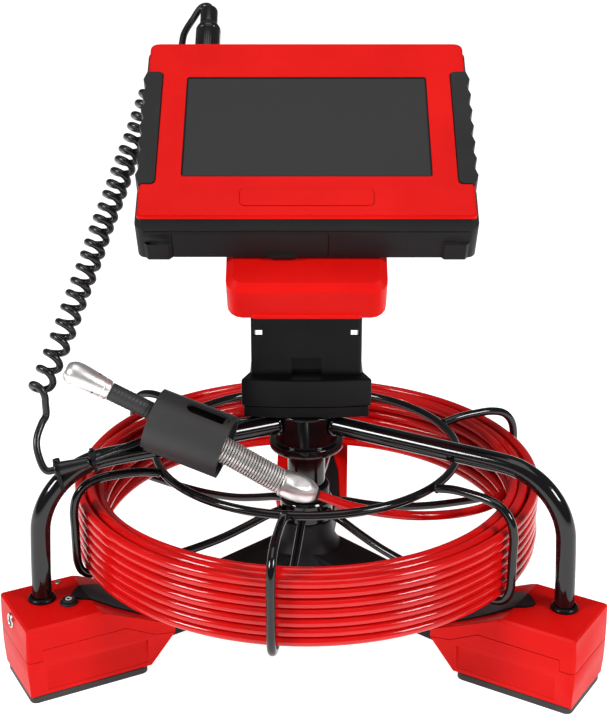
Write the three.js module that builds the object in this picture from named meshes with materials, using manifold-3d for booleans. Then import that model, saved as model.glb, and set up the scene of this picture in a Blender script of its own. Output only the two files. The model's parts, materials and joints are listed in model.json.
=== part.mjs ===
// Pipe inspection camera: push cable reel on a three-legged base, monitor on a swivelling mast.
// Millimetres, +Z up, the front (screen side) faces -Y.
import * as THREE from "three";
import { mergeVertices } from "three/addons/utils/BufferGeometryUtils.js";
import Module from "manifold-3d";

const wasm = await Module();
wasm.setup();

// ---- driving dimensions ----
const GAP = 0.3; // clearance between pieces that touch
const FRAME_SHIFT_Y = -24.34; // moves the column so the box is centred on the origin
// Camera, cords, mast and monitor are turned by this about the column.
const LAY_YAW = THREE.MathUtils.degToRad(2);

// feet
const LEG_ANGLES = { left: -60, right: 60, rear: 180 }; // degrees from the front, towards +X
const FOOT_OUTER_R = 217;
const FOOT_INNER_R = 114.5;
const FOOT_HALF_W = 28.3;
const FOOT_TOP_Z = 56.5;
const FOOT_RIDGE_R = 166;
const FOOT_INNER_TOP_Z = 33;
const SOLE_Z = 5;
const SEAM_LOW_Z = 32;
const SEAM_HIGH_Z = 39.8;
const SEAM_STEP_R = 206.5;
const SEAM_MID_R = 149;
const SHELL_WALL = 3;
const PANEL = { r0: 134, r1: 204, z0: 8.5, z1: 38.5, depth: 0.8 };

// frame
const TUBE_ANGLE = 62; // degrees from the front
const TUBE_RADIUS = 6.5;
const TUBE_Z = 149;
const TUBE_FOOT_R = 194; // where it enters the foot
const TUBE_SHOULDER_R = 192; // where the bend ends
const TUBE_BEND_R = 46;
const HUB_CYL_R = 21.6;
const COLUMN_R = 13;
const COLUMN_BORE_R = 9;
const COLUMN_Z = [42, 128.3];

// reel
const REEL_REST = -5.5; // degrees, first hoop from the front
const WIRE_R = 2.9;
const RING_R = 104.5;
const RING_Z = 127.5;
const HOOP_COUNT = 6;
const HOOP_PATH = [
  [19.6, 82.6], [29, 80.4], [47, 74.2], [66, 68.6], [95, 63.6], [125, 61.3], [140, 60.8], [150, 60.6],
  [158, 61.4], [163, 64.8], [165.6, 72], [166, 84], [166, 97], [166, 111], [163.4, 120.5], [157, 127.4],
  [147, 130.6], [134, 131], [120, 130.2], [107.8, 127.6],
];
const COIL = { rIn: 139.5, rOut: 161.2, z0: 65.6, z1: 112.8, round: 7 };
const CABLE_R = 3.2;

// camera
const HEAD_R = 8.4;
const NECK_R = 6.1;
const SPRING_R = 8.7;
const COUPLING_R = 9.5;
const CLIP_R = 21.3;
const CLIP_WALL = 2.4;
const CLIP = {
  left: [-99.4, -56.4, 172.6], right: [-51.7, -67.6, 157.4], tubeAt: 94.4,
  split: 14.6, splitTurn: 34, slot: [24.4, 44], slotHalf: 5.2, slotTurn: 10,
};

// mast and monitor
const BLOCK = { x: 44, y: 22, z0: 166.3, z1: 186, bow: 3 };
const JAW_Z = [158, 166];
const BRACKET = { x: 37.2, front: -12, back: 12.5, wall: 2.5, z0: 186.3, window: [29.6, 35.6, 214.2, 218.2] };
const MON_CENTRE = [0, -10, 355.7];
const MON_LEAN = THREE.MathUtils.degToRad(33.3); // screen face rises this much from the horizontal
const MON = { u: 103.2, v0: -76.3, v1: 75.9, bezel: 3, depth: 36, corner: 5, flare: 3.7, side: 1.8 };
const SCREEN = { u: 77.5, v: 43.5 };
const GRIP = { u0: 93.5, u1: 106, v0: -50, v1: 48, w0: -31, w1: 0.9, corner: 3, cut: 2.2 };
const SHELL_FOOT = { u0: 82, u1: 101, drop: 2.2, w0: -34, w1: -20, slope: 3 };
const SHELL_GROOVE = { u: 99, deep: 0.6, w0: -10.6, w1: -9.9 };
const FLAP = { u0: -82.6, u1: 13.2, w0: -34.4, w1: -12.4, t: 1.6 };
const DOCK = { u: 50.3, v0: -103.2, v1: -8, w0: -66, w1: -36.4, edge: 4.6, corner: 10, hollowW: -41 };
const PIN = { v: -35.6, w: -75, r: 3 };
const SOCKET = { u: -67, w: -15 };

// ---- materials ----
const material = (color, roughness, metalness) =>
  new THREE.MeshStandardMaterial({ color, roughness, metalness });
const RED = material(0xd6140f, 0.38, 0);
const RED_CABLE = material(0xd00a0c, 0.25, 0);
const GLOSS_BLACK = material(0x0c0c0e, 0.15, 0.1);
const MATT_BLACK = material(0x1b1c1e, 0.6, 0);
const RUBBER = material(0x232425, 0.85, 0);
const STEEL = material(0xc9c8c4, 0.22, 1);
const GLASS = material(0x26282b, 0.18, 0);
const BOARD = material(0x0f5a34, 0.55, 0);
const CELL = material(0x2a4f8c, 0.5, 0);

// ---- helpers ----
const rad = THREE.MathUtils.degToRad;
const vec = (x, y, z) => new THREE.Vector3(x, y, z);
const laid = (x, y, z) => vec(x, y, z).applyAxisAngle(vec(0, 0, 1), LAY_YAW);

const root = new THREE.Group();
root.position.y = FRAME_SHIFT_Y;

// A closed geometry as a manifold solid, faces turned outwards.
function solid(geometry) {
  const bare = new THREE.BufferGeometry();
  const flat = geometry.index ? geometry.toNonIndexed() : geometry;
  bare.setAttribute("position", flat.getAttribute("position"));
  const merged = mergeVertices(bare, 1e-3);
  const kept = [];
  const index = merged.index.array;
  for (let i = 0; i < index.length; i += 3) {
    const [a, b, c] = [index[i], index[i + 1], index[i + 2]];
    if (a !== b && b !== c && c !== a) kept.push(a, b, c);
  }
  const build = (triVerts) =>
    new wasm.Manifold(
      new wasm.Mesh({
        numProp: 3,
        vertProperties: new Float32Array(merged.attributes.position.array),
        triVerts: new Uint32Array(triVerts),
      }),
    );
  const made = build(kept);
  if (made.volume() > 0) return made;
  for (let i = 0; i < kept.length; i += 3) [kept[i + 1], kept[i + 2]] = [kept[i + 2], kept[i + 1]];
  return build(kept);
}

function geometryOf(body) {
  const mesh = body.getMesh();
  const positions = new Float32Array(mesh.numVert * 3);
  for (let i = 0; i < mesh.numVert; i += 1) {
    positions.set(mesh.vertProperties.subarray(i * mesh.numProp, i * mesh.numProp + 3), i * 3);
  }
  const indexed = new THREE.BufferGeometry();
  indexed.setAttribute("position", new THREE.BufferAttribute(positions, 3));
  indexed.setIndex(new THREE.BufferAttribute(new Uint32Array(mesh.triVerts), 1));
  const geometry = indexed.toNonIndexed();
  geometry.computeVertexNormals();
  return geometry;
}

function add(parent, name, body, look) {
  const mesh = new THREE.Mesh(geometryOf(body), look);
  mesh.name = name;
  parent.add(mesh);
  return mesh;
}

function box(x0, x1, y0, y1, z0, z1) {
  const geometry = new THREE.BoxGeometry(x1 - x0, y1 - y0, z1 - z0);
  geometry.translate((x0 + x1) / 2, (y0 + y1) / 2, (z0 + z1) / 2);
  return solid(geometry);
}

// Profile of [radius, z] pairs turned about Z.
function lathe(profile, segments) {
  const points = profile.map(([r, z]) => new THREE.Vector2(r, z));
  const geometry = new THREE.LatheGeometry(points, segments);
  geometry.rotateX(Math.PI / 2);
  return solid(geometry);
}

function ringProfile(rIn, rOut, z0, z1) {
  return [[rIn, z0], [rOut, z0], [rOut, z1], [rIn, z1], [rIn, z0]];
}

function disc(r, z0, z1, segments) {
  return lathe([[0, z0], [r, z0], [r, z1], [0, z1]], segments);
}

// Outline in XY pushed from z0 to z1.
function prism(outline, z0, z1) {
  const shape = new THREE.Shape(outline.map(([x, y]) => new THREE.Vector2(x, y)));
  const geometry = new THREE.ExtrudeGeometry(shape, { depth: z1 - z0, bevelEnabled: false });
  geometry.translate(0, 0, z0);
  return solid(geometry);
}

// Outline in XY pushed from z0 to z1, both ends chamfered by a width and a height.
function chamfered(outline, z0, z1, size, rise) {
  const shape = new THREE.Shape(outline.map(([x, y]) => new THREE.Vector2(x, y)));
  const geometry = new THREE.ExtrudeGeometry(shape, {
    depth: z1 - z0 - 2 * rise,
    bevelEnabled: true,
    bevelThickness: rise,
    bevelSize: size,
    bevelOffset: -size,
    bevelSegments: 1,
  });
  geometry.translate(0, 0, z0 + rise);
  return solid(geometry);
}

function roundedOutline(x0, x1, y0, y1, radii, steps = 4) {
  const corners = [
    [x1, y0, -90, radii[0]], [x1, y1, 0, radii[1]], [x0, y1, 90, radii[2]], [x0, y0, 180, radii[3]],
  ];
  const outline = [];
  for (const [x, y, start, r] of corners) {
    const cx = x === x1 ? x - r : x + r;
    const cy = y === y1 ? y - r : y + r;
    for (let i = 0; i <= (r > 0 ? steps : 0); i += 1) {
      const a = rad(start + (90 * i) / steps);
      outline.push([cx + r * Math.cos(a), cy + r * Math.sin(a)]);
    }
  }
  return outline;
}

// Side outline of [radius from the column, z] pairs, given a width across it; it runs along -Y.
function sideSlab(outline, halfWidth) {
  const geometry = new THREE.ExtrudeGeometry(
    new THREE.Shape(outline.map(([r, z]) => new THREE.Vector2(r, z))),
    { depth: 2 * halfWidth, bevelEnabled: false },
  );
  geometry.translate(0, 0, -halfWidth);
  geometry.rotateX(Math.PI / 2);
  geometry.rotateZ(-Math.PI / 2);
  return solid(geometry);
}

function circleShape(r, sides) {
  const points = [];
  for (let i = 0; i < sides; i += 1) {
    const a = (2 * Math.PI * i) / sides;
    points.push(new THREE.Vector2(r * Math.cos(a), r * Math.sin(a)));
  }
  return new THREE.Shape(points);
}

function sweep(points, r, sides, steps) {
  const curve = new THREE.CatmullRomCurve3(points, false, "centripetal");
  const options = { steps, extrudePath: curve, bevelEnabled: false };
  return solid(new THREE.ExtrudeGeometry(circleShape(r, sides), options));
}

function rod(from, to, r, sides) {
  const curve = new THREE.LineCurve3(from, to);
  const options = { steps: 1, extrudePath: curve, bevelEnabled: false };
  return solid(new THREE.ExtrudeGeometry(circleShape(r, sides), options));
}

// A solid built about +Z from its origin, set along a line.
function along(body, from, to) {
  const direction = to.clone().sub(from).normalize();
  const turn = new THREE.Matrix4().makeRotationFromQuaternion(
    new THREE.Quaternion().setFromUnitVectors(vec(0, 0, 1), direction),
  );
  turn.setPosition(from);
  return body.transform(turn.elements);
}

const turned = (body, degrees) => body.rotate([0, 0, degrees]);

// Point in the vertical plane at an angle from the front.
function planePoint(degrees, r, z) {
  const a = rad(degrees);
  return vec(r * Math.sin(a), -r * Math.cos(a), z);
}

// ---- base ----
const BELL = [
  [0, 20], [38, 20], [41, 26], [41, 38], [36, 43.4], [29, 49], [23.4, 55], [20, 61], [18.4, 67], [17.8, 74.6],
  [0, 74.6],
];
const LEG_SIDE = [
  [12, 26], [60, 24], [113.6, 21], [113.6, 27.4], [140, 39.4], [166, 51.4], [175.5, 52.4], [175.5, 57.6],
  [167, 58.2], [FOOT_INNER_R, 34.2], [100, 36.4], [60, 46], [30, 52.6], [12, 56.6],
];

function grow(profile, by) {
  return profile.map(([r, z]) => [r > 0 ? r + by : 0, z + (z > 40 ? by : -by)]);
}

// The three legs share one shape: an arm that ends in a rounded tip let into the top of the foot.
function legBody(clearance) {
  const c = clearance;
  const side = LEG_SIDE.map(([r, z], i) => {
    const lower = i < 7;
    return [i >= 6 && i <= 7 ? r + c : r, z + (lower ? -c : c * 9)];
  });
  const plan = [];
  const halfAt = [
    [12, 17], [60, 18.4], [113, 22], [138, 20.5], [153, 16.4], [165, 10.6], [172, 6], [175.5, 1.6],
  ];
  for (const [r, w] of halfAt) plan.push([w + c, -r - (r > 160 ? c : 0)]);
  for (const [r, w] of halfAt.slice().reverse()) plan.push([-w - c, -r - (r > 160 ? c : 0)]);
  return sideSlab(side, 30).intersect(prism(plan, 0, 90));
}

function footOutline() {
  return [
    [131.5, SOLE_Z + GAP], [FOOT_OUTER_R - 1.5, SOLE_Z + GAP], [FOOT_OUTER_R, SEAM_LOW_Z],
    [FOOT_OUTER_R - 1, FOOT_TOP_Z - 1.5], [FOOT_OUTER_R - 2.4, FOOT_TOP_Z], [FOOT_RIDGE_R, FOOT_TOP_Z],
    [FOOT_INNER_R, FOOT_INNER_TOP_Z],
    [FOOT_INNER_R, 27],
  ];
}

function seamSlab(z, up) {
  const far = up ? 90 : -20;
  return [
    [100, 27 + z - 2.4], [129, 29.4 + z], [SEAM_MID_R, SEAM_HIGH_Z + z],
    [SEAM_STEP_R, SEAM_HIGH_Z + z], [SEAM_STEP_R, SEAM_LOW_Z + z], [240, SEAM_LOW_Z + z],
    [240, far], [100, far],
  ];
}

function footShells() {
  const whole = sideSlab(footOutline(), FOOT_HALF_W);
  const chamfer = 2.2;
  const plan = roundedOutline(-FOOT_HALF_W, FOOT_HALF_W, -FOOT_OUTER_R, -FOOT_INNER_R + 8, [4, 0, 0, 4], 3);
  const shaped = whole.intersect(prism(plan, -5, 90));
  const topHalf = FOOT_HALF_W - chamfer;
  const crossSection = [
    [-FOOT_HALF_W + 2.6, SOLE_Z - 1], [FOOT_HALF_W - 2.6, SOLE_Z - 1], [FOOT_HALF_W, SEAM_LOW_Z],
    [FOOT_HALF_W, FOOT_TOP_Z - chamfer], [topHalf, FOOT_TOP_Z + 1], [-topHalf, FOOT_TOP_Z + 1],
    [-FOOT_HALF_W, FOOT_TOP_Z - chamfer], [-FOOT_HALF_W, SEAM_LOW_Z],
  ];
  const section = new THREE.ExtrudeGeometry(
    new THREE.Shape(crossSection.map(([x, z]) => new THREE.Vector2(x, z))),
    { depth: 140, bevelEnabled: false },
  );
  section.rotateX(Math.PI / 2);
  section.translate(0, -100, 0);
  const body = shaped.intersect(solid(section));
  const upper = body.intersect(sideSlab(seamSlab(GAP / 2, true), 40));
  const lower = body.intersect(sideSlab(seamSlab(-GAP / 2, false), 40));
  return { upper, lower };
}

function hollowUpper(upper) {
  const cavity = sideSlab(
    [[180, 20], [FOOT_OUTER_R - 5, 20], [FOOT_OUTER_R - 5, FOOT_TOP_Z - SHELL_WALL],
      [180, FOOT_TOP_Z - SHELL_WALL]],
    FOOT_HALF_W - SHELL_WALL,
  );
  return upper.subtract(cavity).subtract(legBody(GAP));
}

function hollowLower(lower) {
  const cavity = sideSlab(
    [[142, 9], [FOOT_OUTER_R - 5, 9], [FOOT_OUTER_R - 5, 60], [160, 60], [142, 33]],
    FOOT_HALF_W - SHELL_WALL - 2.6,
  );
  const { r0, r1, z0, z1, depth } = PANEL;
  let body = lower.subtract(cavity);
  for (const side of [-1, 1]) {
    const face = side * FOOT_HALF_W;
    const inner = side * (FOOT_HALF_W - 1.6 - depth);
    const [a, b] = [Math.min(face * 1.2, inner), Math.max(face * 1.2, inner)];
    body = body.subtract(box(a, b, -r1, -r0, z0, z1 - 12));
  }
  return body;
}

const BUTTON = { r: 180, lateral: 6.5, radius: 4.6, z0: 54.2, z1: 59.6 };
const SOCKET_END = { lateral: -4, z: 47.8, radius: 5, bore: 3.7 };

function legFeet(parent) {
  const { upper, lower } = footShells();
  const hollowU = hollowUpper(upper);
  const hollowL = hollowLower(lower);
  const sole = prism(
    roundedOutline(-FOOT_HALF_W + 2.4, FOOT_HALF_W - 2.4, -FOOT_OUTER_R + 2, -133, [4, 5, 5, 4], 3),
    0,
    SOLE_Z,
  );
  const leg = legBody(0).subtract(lathe(grow(BELL, GAP * 1.6), 24));
  const buttonHole = disc(BUTTON.radius + GAP, 50, 62, 16).translate([BUTTON.lateral, -BUTTON.r, 0]);
  const socketHole = rod(
    vec(SOCKET_END.lateral, -FOOT_OUTER_R - 3, SOCKET_END.z),
    vec(SOCKET_END.lateral, -FOOT_OUTER_R + 8, SOCKET_END.z),
    SOCKET_END.radius + GAP,
    14,
  );
  for (const [name, degrees] of Object.entries(LEG_ANGLES)) {
    let top = hollowU;
    const tubeSide = { left: 1, right: -1 }[name];
    if (tubeSide) {
      const offset = TUBE_FOOT_R * Math.sin(rad(TUBE_ANGLE + LEG_ANGLES.left));
      const reach = TUBE_FOOT_R * Math.cos(rad(TUBE_ANGLE + LEG_ANGLES.left));
      const hole = disc(TUBE_RADIUS + GAP, 50, 70, 20).translate([-tubeSide * offset, -reach, 0]);
      top = top.subtract(hole);
    }
    if (name === "left") top = top.subtract(buttonHole).subtract(socketHole);
    add(parent, `${name}_foot_upper`, turned(top, degrees), RED);
    add(parent, `${name}_foot_lower`, turned(hollowL, degrees), RED);
    add(parent, `${name}_foot_sole`, turned(sole, degrees), RUBBER);
    add(parent, `leg_${name}`, turned(leg, degrees), MATT_BLACK);
  }
}

function baseFrame(parent) {
  const cone = lathe(BELL, 24).subtract(disc(COLUMN_R + GAP, COLUMN_Z[0] - GAP, 80, 24));
  add(parent, "base_hub", cone, MATT_BLACK);
  const column = lathe(ringProfile(COLUMN_BORE_R, COLUMN_R, ...COLUMN_Z), 20);
  add(parent, "column_tube", column, GLOSS_BLACK);
  const hub = lathe(
    [[8.4, 128.6], [24.6, 128.6], [25.5, 129.6], [25.5, 134.4], [HUB_CYL_R, 135], [HUB_CYL_R, 155.8],
      [23.4, 155.8], [23.4, 157.6], [8.4, 157.6], [8.4, 128.6]],
    28,
  );
  add(parent, "top_hub", hub, GLOSS_BLACK);
  legFeet(parent);
}

// Centre line of a main tube in its own vertical plane: out from the hub, round the bend, down into the foot.
function tubeLine() {
  const line = [[HUB_CYL_R + 0.9, TUBE_Z], [60, TUBE_Z], [105, TUBE_Z]];
  const bendR = TUBE_SHOULDER_R - TUBE_BEND_R;
  const bendZ = TUBE_Z - TUBE_BEND_R;
  for (let a = 90; a >= 0; a -= 15) {
    line.push([bendR + TUBE_BEND_R * Math.cos(rad(a)), bendZ + TUBE_BEND_R * Math.sin(rad(a))]);
  }
  line.push([TUBE_FOOT_R - 0.7, 75], [TUBE_FOOT_R, 50]);
  return line;
}

function frameTubes(parent) {
  for (const [name, degrees] of [["left", -TUBE_ANGLE], ["right", TUBE_ANGLE]]) {
    const line = tubeLine().map(([r, z]) => planePoint(degrees, r, z));
    add(parent, `${name}_frame_tube`, sweep(line, TUBE_RADIUS, 12, 24), GLOSS_BLACK);
    const foot = planePoint(degrees, TUBE_FOOT_R, 0);
    const collar = lathe(
      [[TUBE_RADIUS + 2 * GAP, FOOT_TOP_Z + GAP], [9.2, FOOT_TOP_Z + GAP], [8.8, FOOT_TOP_Z + 2],
        [TUBE_RADIUS + 2 * GAP, FOOT_TOP_Z + 3], [TUBE_RADIUS + 2 * GAP, FOOT_TOP_Z + GAP]],
      20,
    ).translate([foot.x, foot.y, 0]);
    add(parent, `${name}_tube_collar`, collar, MATT_BLACK);
  }
}

function footElectrics(parent) {
  const inFoot = (body) => turned(body, LEG_ANGLES.left);
  const cap = lathe(
    [[0, BUTTON.z0], [BUTTON.radius, BUTTON.z0], [BUTTON.radius, BUTTON.z1 - 0.8],
      [BUTTON.radius - 0.8, BUTTON.z1], [0, BUTTON.z1]],
    16,
  );
  add(parent, "power_button", inFoot(cap.translate([BUTTON.lateral, -BUTTON.r, 0])), MATT_BLACK);
  const end = -FOOT_OUTER_R;
  const barrel = rod(
    vec(SOCKET_END.lateral, end - 0.6, SOCKET_END.z), vec(SOCKET_END.lateral, end + 11, SOCKET_END.z),
    SOCKET_END.radius, 14,
  ).subtract(rod(
    vec(SOCKET_END.lateral, end - 4, SOCKET_END.z), vec(SOCKET_END.lateral, end + 8, SOCKET_END.z),
    SOCKET_END.bore, 14,
  ));
  add(parent, "charge_socket", inFoot(barrel), STEEL);
  add(parent, "battery_pack", inFoot(box(-19, 19, -208, -145, 9 + GAP, 30)), CELL);
  add(parent, "control_board", inFoot(box(-19, 19, -204, -182, 30 + GAP, 31.9)), BOARD);
}

// ---- reel ----
function reel(parent) {
  const bore = COLUMN_R + GAP;
  const hub = lathe(
    [[bore, 75], [17.8, 75], [18.3, 76], [18.3, 89], [17, 91], [bore, 91], [bore, 75]],
    24,
  );
  add(parent, "reel_hub", hub, GLOSS_BLACK);
  const ring = solid(new THREE.TorusGeometry(RING_R, WIRE_R, 8, 40)).translate([0, 0, RING_Z]);
  add(parent, "reel_ring", ring, GLOSS_BLACK);
  for (let i = 0; i < HOOP_COUNT; i += 1) {
    const degrees = REEL_REST + (360 / HOOP_COUNT) * i;
    const line = HOOP_PATH.map(([r, z]) => planePoint(degrees, r, z));
    add(parent, `reel_hoop_${i + 1}`, sweep(line, WIRE_R, 8, 24), GLOSS_BLACK);
  }
  const { rIn, rOut, z0, z1, round } = COIL;
  const bundle = lathe(
    [[rIn, z0 + round], [rIn + round, z0], [rOut - round, z0], [rOut, z0 + round], [rOut, z1 - round],
      [rOut - round, z1], [rIn + round, z1], [rIn, z1 - round], [rIn, z0 + round]],
    48,
  );
  add(parent, "push_cable_coil", bundle, RED_CABLE);
}

function slipRing(parent) {
  const bore = COLUMN_R + GAP;
  const body = lathe(
    [[bore, 91.3], [16, 91.3], [16, 100], [14.6, 101.5], [bore, 101.5], [bore, 91.3]],
    20,
  );
  add(parent, "slip_ring", body, MATT_BLACK);
}

// ---- camera on its cable ----
const CAMERA = {
  tip: laid(-153.8, -62, 210.1),
  headEnd: laid(-125.9, -62, 195),
  neckEnd: laid(-84.4, -62, 172.6),
  springEnd: laid(-16.8, -62, 130.5),
  couplingEnd: laid(6.2, -62, 121.7),
};
const LEAD_OUT = [
  laid(6.5, -62, 121.6), laid(17, -62, 117.2), laid(28, -61.8, 113), laid(48, -61, 108),
  laid(72.5, -58.5, 104), laid(98.5, -48.3, 100), laid(119, -32, 95.8), laid(130.5, -18, 93.4),
  laid(134.6, -9, 92.6),
];

function cameraHead(parent) {
  const { tip, headEnd, neckEnd, springEnd, couplingEnd } = CAMERA;
  const headLong = tip.distanceTo(headEnd);
  const shell = lathe(
    [[0, 0.2], [3.4, 0.4], [5.6, 1.4], [7.2, 3.4], [8.1, 6], [HEAD_R, 9.4], [8.2, 14], [7.6, 21], [6.9, 27],
      [6.4, headLong], [0, headLong]],
    20,
  ).subtract(disc(3.3, -1, 3.4, 16));
  add(parent, "camera_head_shell", along(shell, tip, headEnd), STEEL);
  const lens = lathe([[0, 0.4], [2.2, 0.5], [3, 1.2], [3, 3.1], [0, 3.1]], 14);
  add(parent, "camera_lens_window", along(lens, tip, headEnd), GLASS);
  const neckLong = headEnd.distanceTo(neckEnd);
  const neck = lathe(
    [[0, GAP], [NECK_R, GAP], [NECK_R, 30], [5.6, neckLong - 2 * GAP], [0, neckLong - 2 * GAP]],
    16,
  );
  add(parent, "flex_neck", along(neck, headEnd, neckEnd), RUBBER);
  const springLong = neckEnd.distanceTo(springEnd);
  add(parent, "guide_spring", along(disc(SPRING_R, 0, springLong - 1.8, 16), neckEnd, springEnd), STEEL);
  const endLong = springEnd.distanceTo(couplingEnd);
  const coupling = lathe(
    [[0, 0], [8.6, 0], [9.1, 1.6], [9.3, 6], [COUPLING_R, 9], [9.3, 14], [8.4, 18.4], [6.8, 22],
      [4.6, endLong], [0, endLong]],
    20,
  ).subtract(box(-12, 12, 8.3, 12, 3, 18)).subtract(box(-12, 12, -12, -8.3, 3, 18));
  add(parent, "end_coupling", along(coupling, springEnd, couplingEnd), STEEL);
  add(parent, "push_cable_lead", sweep(LEAD_OUT, CABLE_R, 8, 26), RED_CABLE);
}

// A solid built about +Z with +Y up and -X to the front, set along a line that runs to the right.
function alongLevel(body, from, to) {
  const run = to.clone().sub(from).normalize();
  const up = vec(0, 0, 1).addScaledVector(run, -run.z).normalize();
  const turn = new THREE.Matrix4().makeBasis(up.clone().cross(run), up, run);
  turn.setPosition(from);
  return body.transform(turn.elements);
}

// Round holder clamped on the left tube, split along its lower front, with two inner ribs for the camera.
function cameraClip(parent, lead) {
  const left = laid(...CLIP.left);
  const right = laid(...CLIP.right);
  const long = left.distanceTo(right);
  const { headEnd, neckEnd, springEnd } = CAMERA;
  const bore = CLIP_R - CLIP_WALL;
  const middle = left.clone().add(right).multiplyScalar(0.5);
  const onTube = planePoint(-TUBE_ANGLE, CLIP.tubeAt, TUBE_Z);
  const tubeRun = planePoint(-TUBE_ANGLE, 1, 0);
  const shell = disc(CLIP_R, 0, long, 28).subtract(disc(bore, -1, long + 1, 28));
  const ribs = disc(bore + 0.6, 9, 12, 28).add(disc(bore + 0.6, long - 6, long - 3, 28));
  const opening = turned(
    box(-CLIP.split / 2, CLIP.split / 2, -CLIP_R * 2, 0, -4, long + 4), -CLIP.splitTurn,
  );
  const slotEnd = (z) => rod(vec(0, 8, z), vec(0, 30, z), CLIP.slotHalf, 12);
  const [slot0, slot1] = CLIP.slot;
  const slot = box(-CLIP.slotHalf, CLIP.slotHalf, 8, 30, slot0, slot1)
    .add(slotEnd(slot0)).add(slotEnd(slot1));
  const place = (body) => alongLevel(body, left, right);
  const clampFrom = onTube.clone().addScaledVector(tubeRun, -10);
  const clampTo = onTube.clone().addScaledVector(tubeRun, 10);
  const clamp = rod(clampFrom, clampTo, TUBE_RADIUS + 3, 16);
  const saddle = rod(onTube, middle, 8, 12).subtract(place(disc(bore, -9, long + 9, 28)));
  const tubeHole = rod(
    clampFrom.clone().addScaledVector(tubeRun, -19), clampTo.clone().addScaledVector(tubeRun, 19),
    TUBE_RADIUS + GAP, 16,
  );
  const passage = along(disc(SPRING_R + GAP, -30, 70, 18), neckEnd, springEnd)
    .add(along(disc(6.6, -5, 50, 18), headEnd, neckEnd));
  const body = place(shell).add(place(ribs)).add(saddle)
    .add(clamp.subtract(place(disc(bore, -9, long + 9, 28))))
    .subtract(tubeHole).subtract(passage).subtract(place(opening))
    .subtract(place(slot.rotate([0, 0, CLIP.slotTurn]))).subtract(lead);
  add(parent, "camera_clip", body.decompose().sort((a, b) => b.volume() - a.volume())[0], MATT_BLACK);
}

// ---- cords ----
// Point beside the left tube: position along its line, then distance and direction round it (0 up, 90 front).
function besideTube(r, z, outR, outZ, away, degrees) {
  const front = rad(degrees);
  const lateral = planePoint(-TUBE_ANGLE + 90, 1, 0);
  const spot = planePoint(-TUBE_ANGLE, r + outR * away * Math.cos(front), z + outZ * away * Math.cos(front));
  return spot.addScaledVector(lateral, away * Math.sin(front));
}

const SLEEVE = { from: laid(-161, -83.4, 149.2), to: laid(-138.8, -79, 153.1) };
const CURL_TOP = laid(-104.4, 84, 368);
const CURL_BOTTOM = laid(-170, -60, 196.2);
const CURL_RUN = CURL_TOP.clone().sub(CURL_BOTTOM).normalize();

function signalLead() {
  const reach = [124, 110, 94, 72, 50, 30];
  const swing = [20, 0, -18, -34, -50, -60];
  const line = reach.map((r, i) => besideTube(r, TUBE_Z, 0, 1, TUBE_RADIUS + 2.8, swing[i]));
  const start = SLEEVE.to.clone().lerp(line[0], 0.12);
  return [start, ...line];
}

function cords(parent) {
  const lead = signalLead();
  const leadBody = sweep(lead, 2, 8, 22);
  add(parent, "signal_lead", leadBody, RUBBER);
  const sleeveLong = SLEEVE.from.distanceTo(SLEEVE.to);
  const sleeve = lathe(
    [[0, 0], [4.6, 0], [4.9, 1.5], [3.4, sleeveLong - 3], [2.7, sleeveLong], [0, sleeveLong]],
    12,
  );
  add(parent, "cable_sleeve", along(sleeve, SLEEVE.from, SLEEVE.to), RUBBER);
  const back = SLEEVE.from.clone().sub(SLEEVE.to).normalize();
  const tail = [
    CURL_BOTTOM.clone().addScaledVector(CURL_RUN, -0.8), CURL_BOTTOM.clone().addScaledVector(CURL_RUN, -5),
    laid(-167.6, -63.6, 183.6), laid(-171, -68.5, 175), laid(-172.6, -74, 166.4),
    laid(-171.4, -79, 158.6),
    SLEEVE.from.clone().addScaledVector(back, 5).add(vec(0, 0, 1)),
    SLEEVE.from.clone().addScaledVector(back, 3 * GAP),
  ];
  add(parent, "cord_tail", sweep(tail, 2.4, 8, 22), RUBBER);
  add(parent, "curly_cord", rod(CURL_BOTTOM, CURL_TOP, 7.8, 12), RUBBER);
  return sweep(lead, 2 + GAP, 8, 22);
}

// ---- mast ----
function mast(parent) {
  const { x, y, z0, z1, bow } = BLOCK;
  const front = [];
  for (let i = 0; i <= 8; i += 1) {
    const t = -1 + i / 4;
    front.push([x * t, -y + bow * t * t]);
  }
  const [waist, corner] = [x - 5.6, x - 9.6];
  const rear = [[waist, -4], [waist, y - 4], [corner, y], [-corner, y], [-waist, y - 4], [-waist, -4]];
  const outline = [...front, ...rear];
  const eased = outline.map(([px, py]) => [px * 0.965, py * 0.93]);
  const socket = disc(8.6, z0 - 1, z0 + 9, 16);
  add(parent, "swivel_block", prism(outline, z0, z1).subtract(socket), MATT_BLACK);
  const jaw = prism(eased, ...JAW_Z)
    .add(disc(8, 136, JAW_Z[0] + 2, 20))
    .add(disc(8.3, JAW_Z[1] - 1, z0 + 8, 16));
  add(parent, "block_jaw", jaw, MATT_BLACK);
  bracket(parent);
}

function monitorPoint(u, v, w) {
  return vec(u, v, w).applyAxisAngle(vec(1, 0, 0), MON_LEAN).add(vec(...MON_CENTRE));
}

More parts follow.
